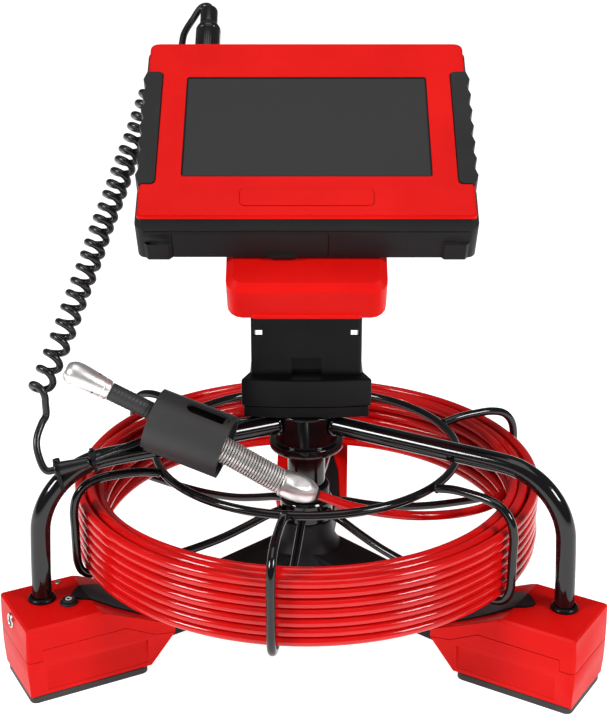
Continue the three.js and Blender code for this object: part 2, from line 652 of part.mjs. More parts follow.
function bracket(parent) {
  const { x, front, back, wall, z0 } = BRACKET;
  const pin = monitorPoint(0, PIN.v, PIN.w);
  const cheekR = 7.6;
  const cheek = [[front, z0], [front, 250], [pin.y - cheekR - 1, 262]];
  for (let a = 180; a >= 0; a -= 30) {
    cheek.push([pin.y + cheekR * Math.cos(rad(a)), pin.z + cheekR * Math.sin(rad(a))]);
  }
  cheek.push([back, 258], [back, z0]);
  const geometry = new THREE.ExtrudeGeometry(
    new THREE.Shape(cheek.map(([y, z]) => new THREE.Vector2(y, z))),
    { depth: 2 * x, bevelEnabled: false },
  );
  geometry.translate(0, 0, -x);
  const turn = new THREE.Matrix4().makeBasis(vec(0, 1, 0), vec(0, 0, 1), vec(1, 0, 0));
  geometry.applyMatrix4(turn);
  let body = solid(geometry).subtract(box(-x + wall, x - wall, front + wall, back + 5, z0 + 3, 320));
  body = body.subtract(box(-x + wall, x - wall, -30, 30, 262, 320));
  body = body.subtract(box(-10, 10, front - 5, front + wall + 1, z0 - 1, z0 + 12.2));
  const [w0, w1, wz0, wz1] = BRACKET.window;
  for (const [a, b] of [[-w1, -w0], [w0, w1]]) {
    body = body.subtract(box(a, b, -30, front + wall + 1, wz0, wz1));
  }
  body = body.intersect(prism(roundedOutline(-x, x, front, back + 10, [3, 3, 1, 1]), z0 - 1, 320));
  const pinHole = rod(vec(-60, pin.y, pin.z), vec(60, pin.y, pin.z), PIN.r + GAP, 14);
  add(parent, "mast_bracket", body.subtract(pinHole), MATT_BLACK);
  const bolt = rod(vec(-x - 0.9, pin.y, pin.z), vec(x + 0.9, pin.y, pin.z), PIN.r, 14)
    .add(rod(vec(x + GAP, pin.y, pin.z), vec(x + 3, pin.y, pin.z), 5.4, 6))
    .add(rod(vec(-x - 3, pin.y, pin.z), vec(-x - GAP, pin.y, pin.z), 5.4, 6));
  add(parent, "tilt_pin", bolt, STEEL);
}

// ---- monitor, built flat: x across the screen, y up it, z out of it ----
function monitor(parent) {
  const group = new THREE.Group();
  group.position.set(...MON_CENTRE);
  group.rotation.x = MON_LEAN;
  parent.add(group);
  const { u, v0, v1, bezel, depth, corner, flare, side } = MON;
  const gripRoom = (hand) => {
    const [a, b] = hand < 0 ? [-u - 9, -GRIP.u0 + GAP] : [GRIP.u0 - GAP, u + 9];
    const r = GRIP.corner;
    const inner = hand < 0 ? [r, r, 0, 0] : [0, 0, r, r];
    const outline = roundedOutline(a, b, GRIP.v0 - GAP, GRIP.v1 + GAP, inner);
    return prism(outline, GRIP.w0 - GAP, 5);
  };
  const radii = [corner, corner, corner, corner];
  const faceRadii = [2, corner, corner, 2];
  const faceEdge = prism(roundedOutline(-u, u, v0, v1, faceRadii), -bezel, -1.2);
  const faceTop = prism(roundedOutline(-u + 1.2, u - 1.2, v0 + 1.2, v1 - 1.2, faceRadii), -1.3, 0);
  const screenOutline = (gap) => {
    const [su, sv] = [SCREEN.u + gap, SCREEN.v + gap];
    return roundedOutline(-su, su, -sv, sv, [2, 2, 2, 2]);
  };
  const opening = prism(screenOutline(GAP), -20, 5);
  const face = faceEdge.add(faceTop).subtract(opening).subtract(gripRoom(-1)).subtract(gripRoom(1));
  add(group, "front_bezel", face, RED);
  add(group, "screen_glass", prism(screenOutline(0), -2.2, -0.9), GLASS);
  add(group, "lcd_panel", box(-81, 81, -47, 47, -9.5, -bezel - GAP), MATT_BLACK);

  const floor = v0 - flare;
  const wide = u + side;
  const outline = roundedOutline(-wide, wide, floor, v1 - 0.6, radii);
  const back = chamfered(outline, -depth + 6, -bezel - GAP, flare - GAP, 4.3)
    .add(chamfered(outline, -depth, -12, 1.4, 1.4)).add(shellFoot(-1)).add(shellFoot(1))
    .subtract(box(
      -SHELL_GROOVE.u, SHELL_GROOVE.u, floor - 1, floor + SHELL_GROOVE.deep,
      SHELL_GROOVE.w0, SHELL_GROOVE.w1,
    ));
  const cavity = box(-89, 89, v0 + 5, v1 - 6, -depth + 3, 5);
  const [flap0, flap1] = [FLAP.u0 - GAP, FLAP.u1 + GAP];
  const flapRoom = box(flap0, flap1, floor - 1, floor + FLAP.t + GAP, FLAP.w0 - 5, FLAP.w1 + GAP);
  const ports = box(-70, -10, floor - 1, floor + 12, -29, -19);
  const plugHole = rod(vec(SOCKET.u, v1 - 9, SOCKET.w), vec(SOCKET.u, v1 + 5, SOCKET.w), 6.3, 16);
  const shell = back.subtract(cavity).subtract(gripRoom(-1)).subtract(gripRoom(1)).subtract(flapRoom)
    .subtract(ports).subtract(plugHole);
  add(group, "rear_shell", shell, MATT_BLACK);
  add(group, "main_board", box(-84, 84, -60, 62, -depth + 3 + GAP, -depth + 5.2), BOARD);

  grips(group);
  portFlap(group);
  dockPlate(group);
  plug(group);
}

// Small pad under a lower corner of the rear shell.
function shellFoot(side) {
  const { u0, u1, drop, w0, w1, slope } = SHELL_FOOT;
  const floor = MON.v0 - MON.flare;
  const outline = [
    [u0 + slope, floor - drop], [u1 - slope, floor - drop], [u1, floor + 1], [u0, floor + 1],
  ];
  if (side < 0) return prism(outline.map(([u, v]) => [-u, v]).reverse(), w0, w1);
  return prism(outline, w0, w1);
}

function grips(group) {
  const waves = 7;
  for (const [name, side] of [["left", -1], ["right", 1]]) {
    const { u0, v0, v1, cut } = GRIP;
    const outline = [
      [side * (u0 + cut), v0], [side * u0, v0 + cut], [side * u0, v1 - cut], [side * (u0 + cut), v1],
    ];
    const steps = waves * 4;
    for (let i = 0; i <= steps; i += 1) {
      const v = v1 + ((v0 - v1) * i) / steps;
      const swell = 1.1 - 1.1 * Math.cos((2 * Math.PI * waves * i) / steps);
      outline.push([side * (GRIP.u1 - 2.2 + swell), v]);
    }
    if (side > 0) outline.reverse();
    add(group, `grip_${name}`, prism(outline, GRIP.w0, GRIP.w1), RUBBER);
  }
}

function portFlap(group) {
  const floor = MON.v0 - MON.flare;
  const { u0, u1, w0, w1, t } = FLAP;
  const body = box(u0, u1, floor, floor + t, w0, w1).add(box(-24, -6, floor - 1.4, floor + 0.4, w0, w0 + 3));
  add(group, "port_flap", body, MATT_BLACK);
}

function dockPlate(group) {
  const { u, v0, v1, w0, w1, edge, corner, hollowW } = DOCK;
  const outline = roundedOutline(-u, u, v0, v1, [corner, 7, 7, corner]);
  let body = chamfered(outline, w0 + 8, w1, edge, edge).add(prism(outline, w0, w0 + 14));
  body = body.add(chamfered(roundedOutline(-34.5, 34.5, v0 - 1.6, v0 + 9, [2, 2, 2, 2]), w0, w0 + 4, 1, 1));
  for (const [a, b] of [[-45, -38], [-26, 26], [38, 45]]) {
    body = body.subtract(box(a, b, v0 + 5, v1 - 4, w0 - 1, hollowW));
  }
  for (const side of [-1, 1]) {
    const inner = side * 28.5;
    const outer = side * (BRACKET.x - BRACKET.wall - GAP);
    const [a, b] = [Math.min(inner, outer), Math.max(inner, outer)];
    body = body.add(box(a, b, PIN.v - 6, PIN.v + 6, PIN.w, w0 + 1))
      .add(rod(vec(a, PIN.v, PIN.w), vec(b, PIN.v, PIN.w), 6, 14));
  }
  body = body.subtract(rod(vec(-60, PIN.v, PIN.w), vec(60, PIN.v, PIN.w), PIN.r + GAP, 14));
  add(group, "dock_plate", body, RED);
}

function plug(group) {
  const { u, w } = SOCKET;
  const at = (v) => vec(u, v, w);
  const top = MON.v1 - 1.5;
  const nutFrom = top + 1.6;
  const nutTo = top + 35;
  const capTo = nutTo + 16;
  const neck = rod(at(top - 8), at(nutTo + 1), 5, 14).add(rod(at(nutTo + GAP), at(capTo), 6, 16));
  add(group, "connector_plug", neck.add(rod(at(top - 8), at(top - 4), 6, 14)), MATT_BLACK);
  const knurls = 12;
  const taper = [[8.5, nutFrom], [8.5, nutTo - 5], [6.3, nutTo]];
  const nutBody = lathe([[0, nutFrom], ...taper, [0, nutTo]], 24).rotate([-90, 0, 0]).translate([u, 0, w]);
  let nut = nutBody.subtract(rod(at(nutFrom - 2), at(nutTo + 2), 5 + GAP, 14));
  for (let i = 0; i < knurls; i += 1) {
    const a = (2 * Math.PI * i) / knurls;
    const [du, dw] = [8.8 * Math.cos(a), 8.8 * Math.sin(a)];
    nut = nut.subtract(rod(vec(u + du, nutFrom + 3, w + dw), vec(u + du, nutTo - 9, w + dw), 0.9, 4));
  }
  add(group, "coupling_nut", nut, MATT_BLACK);
  const start = vec(u, capTo + 4 * GAP, w);
  const flat = (p) => p.applyAxisAngle(vec(0, 0, 1), -LAY_YAW).sub(vec(...MON_CENTRE))
    .applyAxisAngle(vec(1, 0, 0), -MON_LEAN);
  const curl = [6, 0.8].map((gap) => flat(CURL_TOP.clone().addScaledVector(CURL_RUN, gap)));
  const line = [
    start, vec(u - 0.8, start.y + 2.6, w), vec(u - 5.4, start.y + 3.4, w - 1.4),
    vec(u - 11.4, start.y - 6, w - 4), vec(u - 17.4, start.y - 15.2, w - 9),
    vec(u - 20.4, start.y - 26, w - 15), ...curl,
  ];
  add(group, "cord_top", sweep(line, 2.4, 8, 18), RUBBER);
}

// ---- assembly ----
baseFrame(root);
frameTubes(root);
footElectrics(root);
reel(root);
slipRing(root);
cameraHead(root);
const leadRoom = cords(root);
cameraClip(root, leadRoom);
const upperWorks = new THREE.Group();
upperWorks.rotation.z = LAY_YAW;
root.add(upperWorks);
mast(upperWorks);
monitor(upperWorks);

export default root;
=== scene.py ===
"""Looks of a pipe inspection camera.

A cable reel in a wire basket, a monitor on a swivel mast and a camera head in a clip.
"""

import json
import math
import random

import bmesh
import bpy
from mathutils import Matrix, Vector


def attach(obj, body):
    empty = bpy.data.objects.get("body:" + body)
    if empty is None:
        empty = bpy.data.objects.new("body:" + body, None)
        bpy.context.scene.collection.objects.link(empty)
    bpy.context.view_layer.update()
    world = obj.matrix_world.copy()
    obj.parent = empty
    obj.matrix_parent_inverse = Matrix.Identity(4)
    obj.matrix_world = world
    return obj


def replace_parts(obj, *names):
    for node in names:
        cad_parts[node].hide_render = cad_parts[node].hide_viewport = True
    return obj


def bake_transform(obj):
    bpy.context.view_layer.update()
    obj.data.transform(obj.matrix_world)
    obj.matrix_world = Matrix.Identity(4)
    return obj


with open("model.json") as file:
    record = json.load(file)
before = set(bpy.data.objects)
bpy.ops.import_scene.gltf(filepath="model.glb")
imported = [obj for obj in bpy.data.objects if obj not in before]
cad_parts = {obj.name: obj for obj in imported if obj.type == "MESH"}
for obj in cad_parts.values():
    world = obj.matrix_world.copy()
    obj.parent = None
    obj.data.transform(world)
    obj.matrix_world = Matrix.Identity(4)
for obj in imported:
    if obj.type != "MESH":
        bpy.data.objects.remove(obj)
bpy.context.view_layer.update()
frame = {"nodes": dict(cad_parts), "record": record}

# Millimetres, with the reel's axis at x = y = 0, +Z up and -Y the screen's side, as in the part's source.
MM = 0.001
SHIFT_Y = -24.34
LAY_YAW = math.radians(2)
LEG = {"left": -60, "right": 60, "rear": 180}
TUBE_ANGLE = 62
TUBE_Z = 149
MON_CENTRE = Vector((0, -10, 355.7))
MON_LEAN = math.radians(33.3)
CABLE_R = 3.2
LEAD_WIRE_R = 1.35


def row(p):
    """A point in millimetres from the reel's axis, as metres in the row frame."""
    return Vector((p[0] * MM, (p[1] + SHIFT_Y) * MM, p[2] * MM))


def laid(x, y, z):
    """Camera and cords are laid out turned a little about the column."""
    return Matrix.Rotation(LAY_YAW, 3, "Z") @ Vector((x, y, z))


def plane_point(degrees, r, z):
    a = math.radians(degrees)
    return Vector((r * math.sin(a), -r * math.cos(a), z))


def mon(u, v, w):
    """u across the screen, v up it, w out of it."""
    return Matrix.Rotation(LAY_YAW, 3,
                           "Z") @ (Matrix.Rotation(MON_LEAN, 3, "X") @ Vector((u, v, w)) + MON_CENTRE)


def smooth_line(points, steps):
    """A centripetal Catmull-Rom curve through the points, cut into about equal steps."""
    pts = [Vector(p) for p in points]
    pts = [2 * pts[0] - pts[1], *pts, 2 * pts[-1] - pts[-2]]
    fine = []
    for p0, p1, p2, p3 in zip(pts, pts[1:], pts[2:], pts[3:]):
        t1 = max((p1 - p0).length, 1e-6) ** 0.5
        t2 = t1 + max((p2 - p1).length, 1e-6) ** 0.5
        t3 = t2 + max((p3 - p2).length, 1e-6) ** 0.5
        for i in range(24):
            t = t1 + (t2 - t1) * i / 24
            a1 = p0.lerp(p1, t / t1)
            a2 = p1.lerp(p2, (t - t1) / (t2 - t1))
            a3 = p2.lerp(p3, (t - t2) / (t3 - t2))
            b1 = a1.lerp(a2, t / t2)
            b2 = a2.lerp(a3, (t - t1) / (t3 - t1))
            fine.append(b1.lerp(b2, (t - t1) / (t2 - t1)))
    fine.append(pts[-2])
    return resampled(fine, steps)


def resampled(line, steps):
    along = [0.0]
    for a, b in zip(line, line[1:]):
        along.append(along[-1] + (b - a).length)
    out, i = [], 0
    for k in range(steps + 1):
        s = along[-1] * k / steps
        while i < len(line) - 2 and along[i + 1] < s:
            i += 1
        span = max(along[i + 1] - along[i], 1e-9)
        out.append(line[i].lerp(line[i + 1], min(max((s - along[i]) / span, 0), 1)))
    return out


# ---- meshes ----
def add_piece(name, mesh, look, body, stands_for=(), sharp=32):
    piece = bpy.data.objects.new(name, mesh)
    bpy.context.scene.collection.objects.link(piece)
    for polygon in mesh.polygons:
        polygon.use_smooth = True
    if sharp:
        mesh.set_sharp_from_angle(angle=math.radians(sharp))
    mesh.materials.clear()
    for one in look if isinstance(look, list) else [look]:
        mesh.materials.append(LOOKS[one])
    if body:
        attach(piece, body)
    if stands_for:
        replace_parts(piece, *stands_for)
    return piece


def mesh_of(name, points, faces):
    mesh = bpy.data.meshes.new(name)
    mesh.from_pydata([row(p) for p in points], [], faces)
    bm = bmesh.new()
    bm.from_mesh(mesh)
    bmesh.ops.recalc_face_normals(bm, faces=bm.faces)
    bm.to_mesh(mesh)
    bm.free()
    return mesh


def tube_shell(line, radius, sides=20, closed=False):
    """Points and faces of a tube. radius is a number, or a function of the share of the length."""
    count = len(line)
    ahead = [(line[(i + 1) % count] - line[i - 1]).normalized() if closed or 0 < i < count - 1
             else (line[min(i + 1, count - 1)] - line[max(i - 1, 0)]).normalized() for i in range(count)]
    side = ahead[0].orthogonal().normalized()
    points, faces = [], []
    for i, p in enumerate(line):
        side = (side - ahead[i] * side.dot(ahead[i])).normalized()
        up = ahead[i].cross(side)
        r = radius(i / (count - 1)) if callable(radius) else radius
        for k in range(sides):
            a = 2 * math.pi * k / sides
            points.append(p + side * (r * math.cos(a)) + up * (r * math.sin(a)))
    shift = 0
    if closed:
        first = points[0] - line[0]
        side = (side - ahead[0] * side.dot(ahead[0])).normalized()
        angle = math.atan2(first.dot(ahead[0].cross(side)), first.dot(side))
        shift = round(angle / (2 * math.pi / sides))
    for i in range(count if closed else count - 1):
        j = (i + 1) % count
        turn = shift if closed and j == 0 else 0
        for k in range(sides):
            m = (k + 1) % sides
            faces.append((i * sides + k, i * sides + m, j * sides + (m - turn) % sides,
                          j * sides + (k - turn) % sides))
    if not closed:
        faces.append(tuple(range(sides))[::-1])
        faces.append(tuple((count - 1) * sides + k for k in range(sides)))
    return points, faces


def tube(name, line, radius, look, body, sides=20, closed=False, **more):
    return add_piece(name, mesh_of(name, *tube_shell(line, radius, sides, closed)), look, body, **more)


def joined(shells):
    points, faces = [], []
    for p, f in shells:
        faces += [tuple(i + len(points) for i in one) for one in f]
        points += p
    return points, faces


def eased(profile, size, steps=4):
    """The profile with each corner rounded by about size."""
    pts = [Vector((a, b, 0)) for a, b in profile]
    out = [pts[0]]
    for a, b, c in zip(pts, pts[1:], pts[2:]):
        back, on = (a - b), (c - b)
        if back.length < 1e-6 or on.length < 1e-6 or back.angle(-on) < math.radians(12):
            out.append(b)
            continue
        cut = min(size, 0.45 * back.length, 0.45 * on.length)
        start, end = b + back.normalized() * cut, b + on.normalized() * cut
        for i in range(steps + 1):
            t = i / steps
            out.append(start.lerp(b, t).lerp(b.lerp(end, t), t))
    out.append(pts[-1])
    return [(p.x, p.y) for p in out]


def lathe_shell(profile, sides=48, place=None):
    """A profile of (radius, height) turned about Z. Points with no radius are shared."""
    points, rings = [], []
    for r, z in profile:
        if r < 1e-6:
            rings.append([len(points)] * sides)
            points.append(Vector((0, 0, z)))
        else:
            rings.append([len(points) + k for k in range(sides)])
            for k in range(sides):
                a = 2 * math.pi * k / sides
                points.append(Vector((r * math.cos(a), r * math.sin(a), z)))
    faces = []
    for lower, upper in zip(rings, rings[1:]):
        for k in range(sides):
            m = (k + 1) % sides
            loop = []
            for i in (lower[k], lower[m], upper[m], upper[k]):
                if i not in loop:
                    loop.append(i)
            if len(loop) > 2:
                faces.append(tuple(loop))
    if place is not None:
        points = [place @ p for p in points]
    return points, faces


def axis_place(start, end):
    """Puts +Z from start towards end, turned as little as possible."""
    direction = (Vector(end) - Vector(start)).normalized()
    return Matrix.Translation(start) @ Vector((0, 0, 1)).rotation_difference(direction).to_matrix().to_4x4()


def lathe(name, profile, look, body, place=None, sides=48, **more):
    return add_piece(name, mesh_of(name, *lathe_shell(profile, sides, place)), look, body, **more)


def box_shell(x0, x1, y0, y1, z0, z1, place=None):
    points = [Vector((x, y, z)) for x in (x0, x1) for y in (y0, y1) for z in (z0, z1)]
    faces = [(0, 1, 3, 2), (4, 6, 7, 5), (0, 4, 5, 1), (2, 3, 7, 6), (0, 2, 6, 4), (1, 5, 7, 3)]
    if place is not None:
        points = [place @ p for p in points]
    return points, faces


def baked(piece):
    """Applies the piece's modifiers to its mesh."""
    bpy.context.view_layer.update()
    made = bpy.data.meshes.new_from_object(piece.evaluated_get(bpy.context.evaluated_depsgraph_get()))
    piece.modifiers.clear()
    piece.data = made
    return piece


def softened(piece, width, steps=3, limit=28, sharp=40):
    """Rounds the piece's hard edges by width, in millimetres."""
    bevel = piece.modifiers.new("bevel", "BEVEL")
    bevel.width, bevel.segments, bevel.limit_method = width * MM, steps, "ANGLE"
    bevel.angle_limit, bevel.use_clamp_overlap, bevel.miter_outer = math.radians(limit), True, "MITER_ARC"
    bevel.harden_normals = True
    for polygon in piece.data.polygons:
        polygon.use_smooth = True
    piece.data.set_sharp_from_angle(angle=math.radians(sharp))
    return baked(piece)


def from_cad(node, look, width, limit=28, steps=3, merge=True):
    """A finer copy of a CAD node with rounded edges, which stands for it.

    merge joins its flat triangles first.
    """
    mesh = frame["nodes"][node].data.copy()
    bm = bmesh.new()
    bm.from_mesh(mesh)
    bmesh.ops.remove_doubles(bm, verts=bm.verts, dist=2e-6)
    if merge:
        bmesh.ops.dissolve_limit(bm, angle_limit=math.radians(0.6), verts=bm.verts, edges=bm.edges)
    bm.to_mesh(mesh)
    bm.free()
    body = next(b for b, nodes in frame["record"]["behaviour"]["bodies"].items() if node in nodes)
    piece = add_piece(node + "_finish", mesh, look, None, sharp=None)
    if width:
        softened(piece, width, steps, limit)
    else:
        for polygon in mesh.polygons:
            polygon.use_smooth = True
        mesh.set_sharp_from_angle(angle=math.radians(limit))
    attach(piece, body)
    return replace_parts(piece, node)


# ---- materials ----
LOOKS, SLOTS = {}, {}


class Nodes:
    """A material's node tree, built a node at a time."""

    def __init__(self, name, slot):
        self.material = bpy.data.materials.new(name)
        self.material.use_nodes = True
        self.tree = self.material.node_tree
        self.shader = self.tree.nodes["Principled BSDF"]
        self.place = self.add("ShaderNodeTexCoord").outputs["Object"]
        LOOKS[name], SLOTS[name] = self.material, slot

    def add(self, kind, **values):
        node = self.tree.nodes.new(kind)
        for key, value in values.items():
            if hasattr(node, key):
                setattr(node, key, value)
            else:
                node.inputs[key.replace("_", " ")].default_value = value
        return node

    def link(self, a, b):
        self.tree.links.new(a, b)

    def noise(self, scale, detail=3, rough=0.55, stretch=None):
        node = self.add("ShaderNodeTexNoise", Scale=scale, Detail=detail, Roughness=rough)
        place = self.place
        if stretch:
            mapping = self.add("ShaderNodeMapping")
            mapping.inputs["Scale"].default_value = stretch
            self.link(place, mapping.inputs["Vector"])
            place = mapping.outputs["Vector"]
        self.link(place, node.inputs["Vector"])
        return node.outputs["Fac"]

    def spread(self, value, low, high, start=0.3, end=0.7):
        node = self.add("ShaderNodeMapRange")
        for key, number in (("From Min", start), ("From Max", end), ("To Min", low), ("To Max", high)):
            node.inputs[key].default_value = number
        self.link(value, node.inputs["Value"])
        return node.outputs["Result"]

    def mix(self, fac, a, b):
        node = self.add("ShaderNodeMix", data_type="RGBA")
        if isinstance(fac, (int, float)):
            node.inputs[0].default_value = fac
        else:
            self.link(fac, node.inputs[0])
        for value, socket in ((a, node.inputs[6]), (b, node.inputs[7])):
            if isinstance(value, tuple):
                socket.default_value = (*value, 1)
            else:
                self.link(value, socket)
        return node.outputs[2]

    def bumps(self, *layers):
        """Layers of (height, distance in metres, strength)."""
        normal = None
        for height, distance, strength in layers:
            node = self.add("ShaderNodeBump", Distance=distance, Strength=strength)
            self.link(height, node.inputs["Height"])
            if normal:
                self.link(normal, node.inputs["Normal"])
            normal = node.outputs["Normal"]
        self.link(normal, self.shader.inputs["Normal"])

    def set(self, **values):
        for key, value in values.items():
            socket = self.shader.inputs[key.replace("_", " ")]
            if isinstance(value, bpy.types.NodeSocket):
                self.link(value, socket)
            else:
                socket.default_value = (*value, 1) if isinstance(value, tuple) else value


def moulded(name, slot, dark, light, rough, grain_scale, grain_depth, coat=0.0, specular=0.5):
    """Injection-moulded plastic or rubber: faint cloudiness, fine grain, uneven gloss."""
    m = Nodes(name, slot)
    cloud, grain = m.noise(14, 4), m.noise(grain_scale, 2)
    m.set(Base_Color=m.mix(m.spread(cloud, 0, 1), dark, light),
          Roughness=m.spread(m.noise(40, 5, 0.7), rough[0], rough[1]),
          Coat_Weight=coat, Coat_Roughness=0.12, Specular_IOR_Level=specular)
    m.bumps((grain, grain_depth * MM, 0.5), (m.noise(22, 2), 0.25 * MM, 0.12))
    return m


def metal(name, slot, dark, light, rough, stretch=None, metallic=1.0):
    m = Nodes(name, slot)
    streak = m.noise(90, 4, 0.6, stretch)
    m.set(Base_Color=m.mix(m.spread(m.noise(25), 0, 1), dark, light), Metallic=metallic,
          Roughness=m.spread(streak, rough[0], rough[1]))
    m.bumps((streak, 0.02 * MM, 0.35), (m.noise(30, 2), 0.2 * MM, 0.1))
    return m


def make_looks():
    moulded("red_shell", "red_plastic", (0.60, 0.004, 0.003), (0.72, 0.007, 0.005), (0.36, 0.46), 2600,
            0.03, 0, 0.08)
    moulded("red_shadow", "red_plastic", (0.22, 0.002, 0.001), (0.26, 0.003, 0.002), (0.5, 0.6), 2600,
            0.03, 0, 0.05)
    moulded("black_shell", "black_plastic", (0.007, 0.007, 0.008), (0.011, 0.011, 0.012), (0.42, 0.54),
            1900, 0.06, 0, 0.16)
    moulded("black_smooth", "black_plastic", (0.003, 0.003, 0.004), (0.006, 0.006, 0.007), (0.26, 0.38),
            2400, 0.02, 0, 0.16)
    moulded("black_gloss", "black_plastic", (0.005, 0.005, 0.006), (0.009, 0.009, 0.010), (0.12, 0.2),
            2400, 0.02, 0, 0.45)
    moulded("black_clip", "black_plastic", (0.022, 0.022, 0.023), (0.03, 0.03, 0.031), (0.44, 0.56), 1500,
            0.07, 0, 0.45)
    moulded("black_rubber", "black_rubber", (0.010, 0.010, 0.011), (0.017, 0.017, 0.018), (0.5, 0.66),
            2100, 0.05, 0, 0.3)
    moulded("cord_rubber", "black_rubber", (0.005, 0.005, 0.006), (0.009, 0.009, 0.010), (0.22, 0.34),
            2300, 0.02, 0, 0.45)
    moulded("sole_rubber", "black_rubber", (0.02, 0.02, 0.02), (0.035, 0.034, 0.033), (0.6, 0.8), 1300,
            0.12)
    moulded("red_sheath", "red_cable", (0.52, 0.003, 0.003), (0.68, 0.005, 0.005), (0.09, 0.15), 1700,
            0.01, 0, 0.42)
    moulded("white_print", "black_plastic", (0.78, 0.78, 0.77), (0.85, 0.85, 0.84), (0.35, 0.5), 1500, 0.02)
    # Near black: the set screws' own colour, and painted shade inside the spring and along the screen's
    # edge.
    moulded("dark_recess", "black_plastic", (0.004, 0.004, 0.004), (0.007, 0.007, 0.007), (0.6, 0.8), 900,
            0.05, 0, 0.2)
    moulded("board_green", "circuit_board", (0.006, 0.07, 0.028), (0.01, 0.1, 0.04), (0.3, 0.45), 900, 0.05)
    moulded("cell_wrap", "battery_wrap", (0.015, 0.055, 0.2), (0.02, 0.08, 0.26), (0.25, 0.4), 500, 0.08)
    moulded("black_enamel", "black_enamel", (0.003, 0.003, 0.0035), (0.005, 0.005, 0.006), (0.07, 0.13),
            700, 0.03, 0, 0.5)
    moulded("black_steel", "black_steel", (0.003, 0.003, 0.0035), (0.006, 0.006, 0.007), (0.32, 0.44),
            1100, 0.08, 0, 0.14)
    metal("bright_steel", "bright_steel", (0.60, 0.59, 0.57), (0.76, 0.75, 0.73), (0.12, 0.24))
    metal("brushed_steel", "bright_steel", (0.74, 0.73, 0.72), (0.90, 0.89, 0.88), (0.26, 0.4), None, 0.88)
    metal("spring_steel", "bright_steel", (0.74, 0.73, 0.72), (0.90, 0.89, 0.88), (0.2, 0.34), None, 0.6)
    metal("grey_screw", "bright_steel", (0.28, 0.28, 0.28), (0.4, 0.4, 0.4), (0.3, 0.5))
    moulded("screen_dark", "screen_glass", (0.034, 0.034, 0.035), (0.036, 0.036, 0.037), (0.3, 0.34), 900,
            0.002, 0, 0.05)
    moulded("lens_dark", "lens_glass", (0.01, 0.012, 0.02), (0.016, 0.02, 0.034), (0.03, 0.06), 400,
            0.002, 1.0)

make_looks()

# ---- camera ----
EYE_RISE = math.radians(21.1)
EYE_FAR = 1000.0


def make_camera():
    eye = laid(-2.0, -EYE_FAR * math.cos(EYE_RISE), 192.3 + EYE_FAR * math.sin(EYE_RISE))
    looking = laid(0, math.cos(EYE_RISE), -math.sin(EYE_RISE))
    data = bpy.data.cameras.new("photo_camera")
    data.lens, data.sensor_width = 73.52, 36.0
    data.clip_start, data.clip_end = 0.05, 20.0
    camera = bpy.data.objects.new("photo_camera", data)
    camera.location = row(eye)
    camera.rotation_mode = "QUATERNION"
    camera.rotation_quaternion = looking.to_track_quat("-Z", "Y")
    bpy.context.scene.collection.objects.link(camera)
    bpy.context.scene.camera = camera


make_camera()

# ---- cords ----
# The push cable: turns of (column from inside, row from the bottom), taken from the lead's end outwards.
# The photo shows six or seven rows at the front. How many columns deep the coil is, is a guess.
COIL_ROWS, COIL_COLUMNS = 7, 3
COIL_R0, COIL_PITCH_R = 143.1, 7.3
COIL_Z0, COIL_PITCH_Z = 68.9, 6.7
COIL_STEPS = 150
LEAD_OUT = [
    laid(6.5, -62, 121.6), laid(17, -62, 117.2), laid(28, -61.8, 113), laid(48, -61, 108),
    laid(72.5, -58.5, 104),
    laid(98.5, -48.3, 100), laid(119, -32, 95.8), laid(130.5, -18, 93.4), laid(134.6, -9, 92.6),
]


def coil_slots():
    inner = [(0, r) for r in (3, 2, 1, 0)] + [(1, r) for r in (0, 1, 2, 3, 4)]
    return inner + [(0, 4), (0, 5), (0, 6), (1, 6), (1, 5)] + [(2, r) for r in (6, 5, 4, 3, 2, 1, 0)]


def coil_line():
    """One open line: neat at the front, looser and crossing at the back and sides."""
    random.seed(11)
    slots = coil_slots()
    swing = [[random.uniform(-1, 1) for _ in range(6)] for _ in slots]
    change = [math.radians(random.uniform(105, 190)) for _ in slots]
    start = math.atan2(LEAD_OUT[-1].y, LEAD_OUT[-1].x)
    line = []
    for k, (column, level) in enumerate(slots):
        after = slots[min(k + 1, len(slots) - 1)]
        for i in range(COIL_STEPS):
            share = i / COIL_STEPS
            a = start + 2 * math.pi * share
            t = min(max((2 * math.pi * share - change[k]) / math.radians(62), 0), 1)
            t = t * t * (3 - 2 * t)
            c, l = column + (after[0] - column) * t, level + (after[1] - level) * t
            loose = 0.16 + 0.84 * (0.5 + 0.5 * math.sin(a)) ** 1.3
            loose *= 1.0 if level >= COIL_ROWS - 2 or column in (0, COIL_COLUMNS - 1) else 0.5
            w = swing[k]
            dr = loose * (1.3 * w[0] * math.sin(a + 3 * w[1]) + 0.8 * w[2] * math.sin(2 * a + 3 * w[3]))
            dz = loose * (1.5 * w[4] * math.sin(a + 3 * w[5]) + 0.9 * w[1] * math.sin(2 * a + 3 * w[0]))
            if level == COIL_ROWS - 1:
                dz += 3.2 * loose * abs(w[2])
            r = COIL_R0 + COIL_PITCH_R * c + dr
            z = COIL_Z0 + COIL_PITCH_Z * l + dz
            line.append(Vector((r * math.cos(a), r * math.sin(a), z)))
    blend_in = 26
    ahead = (LEAD_OUT[-1] - LEAD_OUT[-2]).normalized()
    for i in range(blend_in):
        t = (i / blend_in) ** 0.8
        t = t * t * (3 - 2 * t)
        line[i] = (LEAD_OUT[-1] + ahead * (0.4 + 5.6 * i)).lerp(line[i], t)
    return line


def push_cable():
    line = coil_line()
    coil = tube("push_cable_turns", line, CABLE_R, "red_sheath", "reel", sides=12,
                stands_for=["push_cable_coil"], sharp=60)
    lead = smooth_line(LEAD_OUT, 60)
    piece = tube("push_cable_leadout", lead, CABLE_R, "red_sheath", "base", sides=24,
                 stands_for=["push_cable_lead"], sharp=60)


